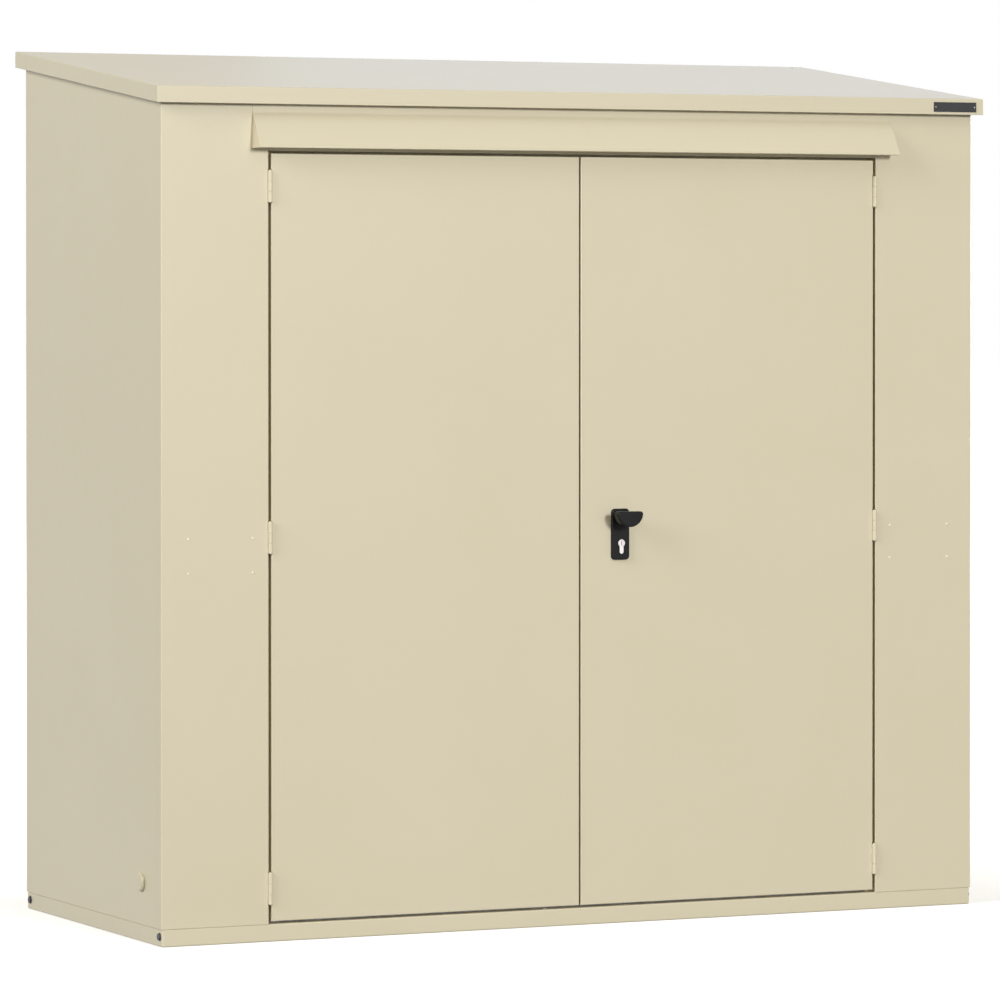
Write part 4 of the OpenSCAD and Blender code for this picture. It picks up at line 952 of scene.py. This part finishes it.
def nickel_plated_brass():
    """Nickel plate brushed across its face."""
    f = new_finish("nickel_plated_brass")
    brushed = f.stretched_noise((1.0, 1.0, 24.0), 160.0, 3.0)
    base = f.mixed(brushed, (0.64, 0.60, 0.59), (0.74, 0.70, 0.70))
    return f.finish({
        "Base Color": base, "Metallic": 1.0, "Roughness": 0.24 + brushed * 0.12,
        "Normal": f.bump(brushed * 0.00002, 0.5)})


def charcoal_plate():
    """Dark grey anodised plate with a fine matt grain."""
    f = new_finish("charcoal_plate")
    grain = f.noise(1400.0, 2.0)
    cloud = f.noise(40.0, 2.0)
    base = f.mixed(cloud, (0.014, 0.014, 0.015), (0.022, 0.022, 0.023))
    return f.finish({
        "Base Color": base, "Metallic": 0.3, "Roughness": 0.42 + grain * 0.10,
        "Normal": f.bump(grain * 0.00003, 0.5)})


def black_rubber():
    """Matt rubber with a bloom of dust."""
    f = new_finish("black_rubber")
    dust = f.noise(90.0, 5.0, 0.6)
    base = f.mixed(dust, (0.013, 0.012, 0.011), (0.045, 0.040, 0.034))
    return f.finish({
        "Base Color": base, "Roughness": 0.72 + dust * 0.15,
        "Normal": f.bump(f.noise(600.0, 3.0) * 0.00006, 0.6)})


cream = cream_powder_coat()
spangle = galvanised_sheet()
plated = zinc_plated_steel()
dulled = dulled_zinc()
oxide = blackened_steel()
lacquer = black_lacquer()
nickel = nickel_plated_brass()
charcoal = charcoal_plate()
rubber = black_rubber()


def coat(obj, material):
    obj.data.materials.clear()
    obj.data.materials.append(material)


def fit(obj, body, material, node, degrees=35):
    """Finish a piece and put it on its body, in place of the CAD node it stands for."""
    smooth(obj, degrees)
    coat(obj, material)
    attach(obj, body)
    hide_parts(node)


# Walls, floor and roof
panel_right = front_sheet()
panel_left = mirror_of(panel_right, "front_sheet_left")
for panel, side, node in ((panel_right, 1, "front_panel_right"), (panel_left, -1, "front_panel_left")):
    face_out(panel, (0, -1, 0))
    thicken(panel)
    notch_for_hinges(panel, side)
    fit(panel, "shed", cream, node)

wall_right = side_sheet()
wall_left = mirror_of(wall_right, "side_sheet_left")
for wall, side, node in ((wall_right, 1, "side_panel_right"), (wall_left, -1, "side_panel_left")):
    face_out(wall, (side, 0, 0))
    thicken(wall)
    fit(wall, "shed", cream, node)

rear_right = rear_sheet()
rear_left = mirror_of(rear_right, "rear_sheet_left")
for rear, node in ((rear_right, "rear_panel_right"), (rear_left, "rear_panel_left")):
    face_out(rear, (0, 1, 0))
    thicken(rear)
    fit(rear, "shed", cream, node)

fit(header_sheet(), "shed", cream, "header_beam")
fit(hood_sheet(), "shed", cream, "rain_hood")
fit(roof_sheet(), "shed", cream, "roof_panel")
fit(floor_sheet(), "shed", cream, "floor_tray")

# Doors
leaf_right = door_sheet()
leaf_left = mirror_of(leaf_right, "door_sheet_left")
for leaf, side in ((leaf_right, 1), (leaf_left, -1)):
    face_out(leaf, (0, -1, 0))
    thicken(leaf)
    notch_for_hinges(leaf, side)
for leaf, x, z, hole in (
        (leaf_right, UPPER_ROD_X, DOOR_HIGH.z, ROD_HOLE), (leaf_right, LOWER_ROD_X, DOOR_LOW.z, ROD_HOLE),
        (leaf_left, BOLT_X, DOOR_HIGH.z, BOLT_HOLE), (leaf_left, BOLT_X, DOOR_LOW.z, BOLT_HOLE)):
    bore(leaf, (x, ROD_Y, z), "Z", hole, SHORT_CUT)
fit(leaf_right, "right_door", cream, "door_skin_right")
fit(leaf_left, "left_door", cream, "door_skin_left")

# Hinges
first_frame = frame_hinge(HINGE_HEIGHTS[0])
first_door = door_hinge(HINGE_HEIGHTS[0])
first_pin = hinge_pin(HINGE_HEIGHTS[0])
frame_parts = []
door_parts = {1: [], -1: []}
pin_parts = []
for height in HINGE_HEIGHTS:
    up = (0, 0, height - HINGE_HEIGHTS[0])
    for side in (1, -1):
        for source, group in (
                (first_frame, frame_parts), (first_door, door_parts[side]), (first_pin, pin_parts)):
            part = copy_of(source, "part", up)
            if side < 0:
                flipped = mirror_of(part, "part")
                bpy.data.objects.remove(part)
                part = flipped
            group.append(part)
for source in (first_frame, first_door, first_pin):
    bpy.data.objects.remove(source)
for group, name, body, node in (
        (frame_parts, "frame_hinges", "shed", "frame_hinge_leaves"),
        (door_parts[1], "door_hinges_right", "right_door", "door_leaves_right"),
        (door_parts[-1], "door_hinges_left", "left_door", "door_leaves_left"),
        (pin_parts, "hinge_pins_turned", "shed", "hinge_pins")):
    joined = add_to(group[0], group[1:])
    joined.name = name
    fit(joined, body, cream, node)

# Lock
fit(lock_plate(), "right_door", lacquer, "lock_plate")
fit(key_cylinder(), "right_door", nickel, "key_cylinder")
fit(key_plug(), "key_plug", nickel, "cylinder_plug")
fit(grip(), "handle", lacquer, "turn_handle")
fit(inner_handle(), "handle", lacquer, "inner_handle")

# Small parts
fit(side_cap(), "shed", cream, "side_cap")
fit(name_plate(), "shed", charcoal, "name_plate")
fit(middle_strip(), "left_door", rubber, "middle_strip")

bolt_front = plinth_bolt(PLINTH_BOLT_FRONT)
bolt_rear = copy_of(bolt_front, "plinth_bolt_rear", (0, PLINTH_BOLT_BACK - PLINTH_BOLT_FRONT, 0))
bolts = [bolt_front, bolt_rear]
for bolt in (bolt_front, bolt_rear):
    bolts.append(mirror_of(bolt, "plinth_bolt_right"))
joined = add_to(bolts[0], bolts[1:])
joined.name = "plinth_bolts"
fit(joined, "shed", oxide, "base_bolts", degrees=25)

outer_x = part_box("front_rivets")[1].x - RIVET_R
inner_x = outer_x - RIVET_SHARE * (SIDE - JAMB)
first_rivet = rivet(outer_x, RIVET_TOP_Z)
rivets = []
for x in (outer_x, inner_x, -outer_x, -inner_x):
    for z in (RIVET_TOP_Z, RIVET_FOOT_Z):
        rivets.append(copy_of(first_rivet, "rivet_copy", (x - outer_x, 0, z - RIVET_TOP_Z)))
bpy.data.objects.remove(first_rivet)
joined = add_to(rivets[0], rivets[1:])
joined.name = "panel_rivets"
fit(joined, "shed", dulled, "front_rivets")

rivet_in = 0.005
first_rivet = plate_rivet(BADGE_LOW.x + rivet_in)
second_rivet = copy_of(first_rivet, "plate_rivet_right", (BADGE_HIGH.x - BADGE_LOW.x - 2 * rivet_in, 0, 0))
joined = add_to(first_rivet, [second_rivet])
joined.name = "plate_rivets_domed"
fit(joined, "shed", dulled, "plate_rivets")

# Finishes of the CAD nodes that stay
KEPT = (
    (spangle, (
        "floor_ribs", "base_brackets", "threshold", "roof_braces", "front_stiffeners", "strike_plates",
        "door_ribs_right", "door_ribs_left", "lock_case", "lock_cover", "rod_guides", "bolt_housings")),
    (plated, (
        "base_nuts", "floor_screws", "hood_screws", "panel_bolts", "panel_nuts", "roof_studs", "roof_nuts",
        "plate_screws", "cylinder_screw", "spindle", "pinion", "rack_upper", "rod_upper", "rack_lower",
        "rod_lower", "tower_bolt_top", "tower_bolt_bottom")),
    (lacquer, ("inner_plate",)))
for material, names in KEPT:
    for name in names:
        coat(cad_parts[name], material)


# Floor, world and lamps
def studio_floor():
    """Pale floor that shows white to the camera and keeps the shed's shadow, darkest at the foot."""
    side = 160
    fade = 1.2
    foot_glow = 0.50
    mirrored_glow = 0.8
    select_none()
    bpy.ops.mesh.primitive_plane_add(size=1, location=(0, 0, 0))
    floor = bpy.context.active_object
    floor.scale = (side, side, 1)
    settle(floor, "studio_floor")
    f = new_finish("studio_floor_white")
    squares = []
    for output, edge in (("X", SIDE), ("Y", BACK)):
        along = f.node("ShaderNodeSeparateXYZ", {}, {"Vector": f.place()}, output)
        outside = f.result("MAXIMUM", f.result("ABSOLUTE", along, 0.0) - edge, 0.0)
        squares.append(outside * outside)
    away = (squares[0] + squares[1]) ** 0.5
    share = f.node("ShaderNodeMapRange", {"interpolation_type": "SMOOTHSTEP"}, {
        "Value": away, "From Max": fade, "To Min": foot_glow, "To Max": 1.0})
    glow = f.node("ShaderNodeEmission", {}, {"Color": (1, 1, 1, 1), "Strength": 1.0})
    dark = f.node("ShaderNodeEmission", {}, {"Color": (1, 1, 1, 1), "Strength": 0.0})
    straight = f.node("ShaderNodeLightPath", {}, {}, "Is Camera Ray")
    mirrored = f.node("ShaderNodeLightPath", {}, {}, "Is Glossy Ray")
    lift = f.node("ShaderNodeMixShader", {}, {
        0: straight * share + mirrored * mirrored_glow, 1: dark, 2: glow})
    grey = f.mixed(straight, (0.25, 0.25, 0.25), (0.80, 0.80, 0.80))
    plain = f.node("ShaderNodeBsdfDiffuse", {}, {"Color": grey})
    both = f.node("ShaderNodeAddShader", {}, {0: plain, 1: lift})
    f.node("ShaderNodeOutputMaterial", {}, {"Surface": both})
    coat(floor, f.owner)


def studio_world():
    """White for the camera and for reflections, a low warm level for the rest."""
    world = bpy.data.worlds.new("studio_world")
    bpy.context.scene.world = world
    f = Finish(world)
    seen = f.node("ShaderNodeLightPath", {}, {}, "Is Camera Ray")
    for output in ("Is Glossy Ray", "Is Transmission Ray"):
        seen = f.result("MAXIMUM", seen, f.node("ShaderNodeLightPath", {}, {}, output))
    tone = f.mixed(seen, (0.150, 0.128, 0.090), (1, 1, 1))
    sky = f.node("ShaderNodeBackground", {}, {"Color": tone})
    f.node("ShaderNodeOutputWorld", {}, {"Surface": sky})


def soft_lamp(name, direction, distance, size, power, colour=(1, 1, 1)):
    """A square lamp that looks at the middle of the shed."""
    lamp = bpy.data.lights.new(name, "AREA")
    lamp.shape = "SQUARE"
    lamp.size = size
    lamp.energy = power
    lamp.color = colour
    obj = bpy.data.objects.new(name, lamp)
    bpy.context.scene.collection.objects.link(obj)
    way = Vector(direction).normalized()
    middle = Vector((0, 0, 1))
    obj.location = middle + way * distance
    obj.rotation_euler = (-way).to_track_quat("-Z", "Y").to_euler()


studio_floor()
studio_world()
soft_lamp("key_lamp", (0.085, -1.0, 0.215), distance=26, size=4.2, power=3900)
soft_lamp("top_lamp", (0.05, -0.75, 0.66), distance=24, size=12, power=470)
soft_lamp("fill_lamp", (-0.87, -0.20, 0.40), distance=26, size=13, power=4700)
soft_lamp("roof_lamp", (0.515, 0.81, 0.28), distance=7.9, size=3.6, power=24, colour=(0.50, 0.66, 1.0))
soft_lamp("rear_lamp", (0.72, 0.69, 0.06), distance=20, size=3, power=2600)

# Camera, fitted to the shed's edges in the photograph
camera_data = bpy.data.cameras.new("camera")
camera_data.sensor_width = 36
camera_data.lens = 197.308
camera_data.shift_y = -0.15
camera = bpy.data.objects.new("camera", camera_data)
camera.location = (-5.52189, -11.77595, 1.45702)
camera.rotation_euler = (1.56034, 0, -0.43846)
bpy.context.scene.collection.objects.link(camera)
bpy.context.scene.camera = camera
bpy.context.scene.view_settings.view_transform = "Standard"
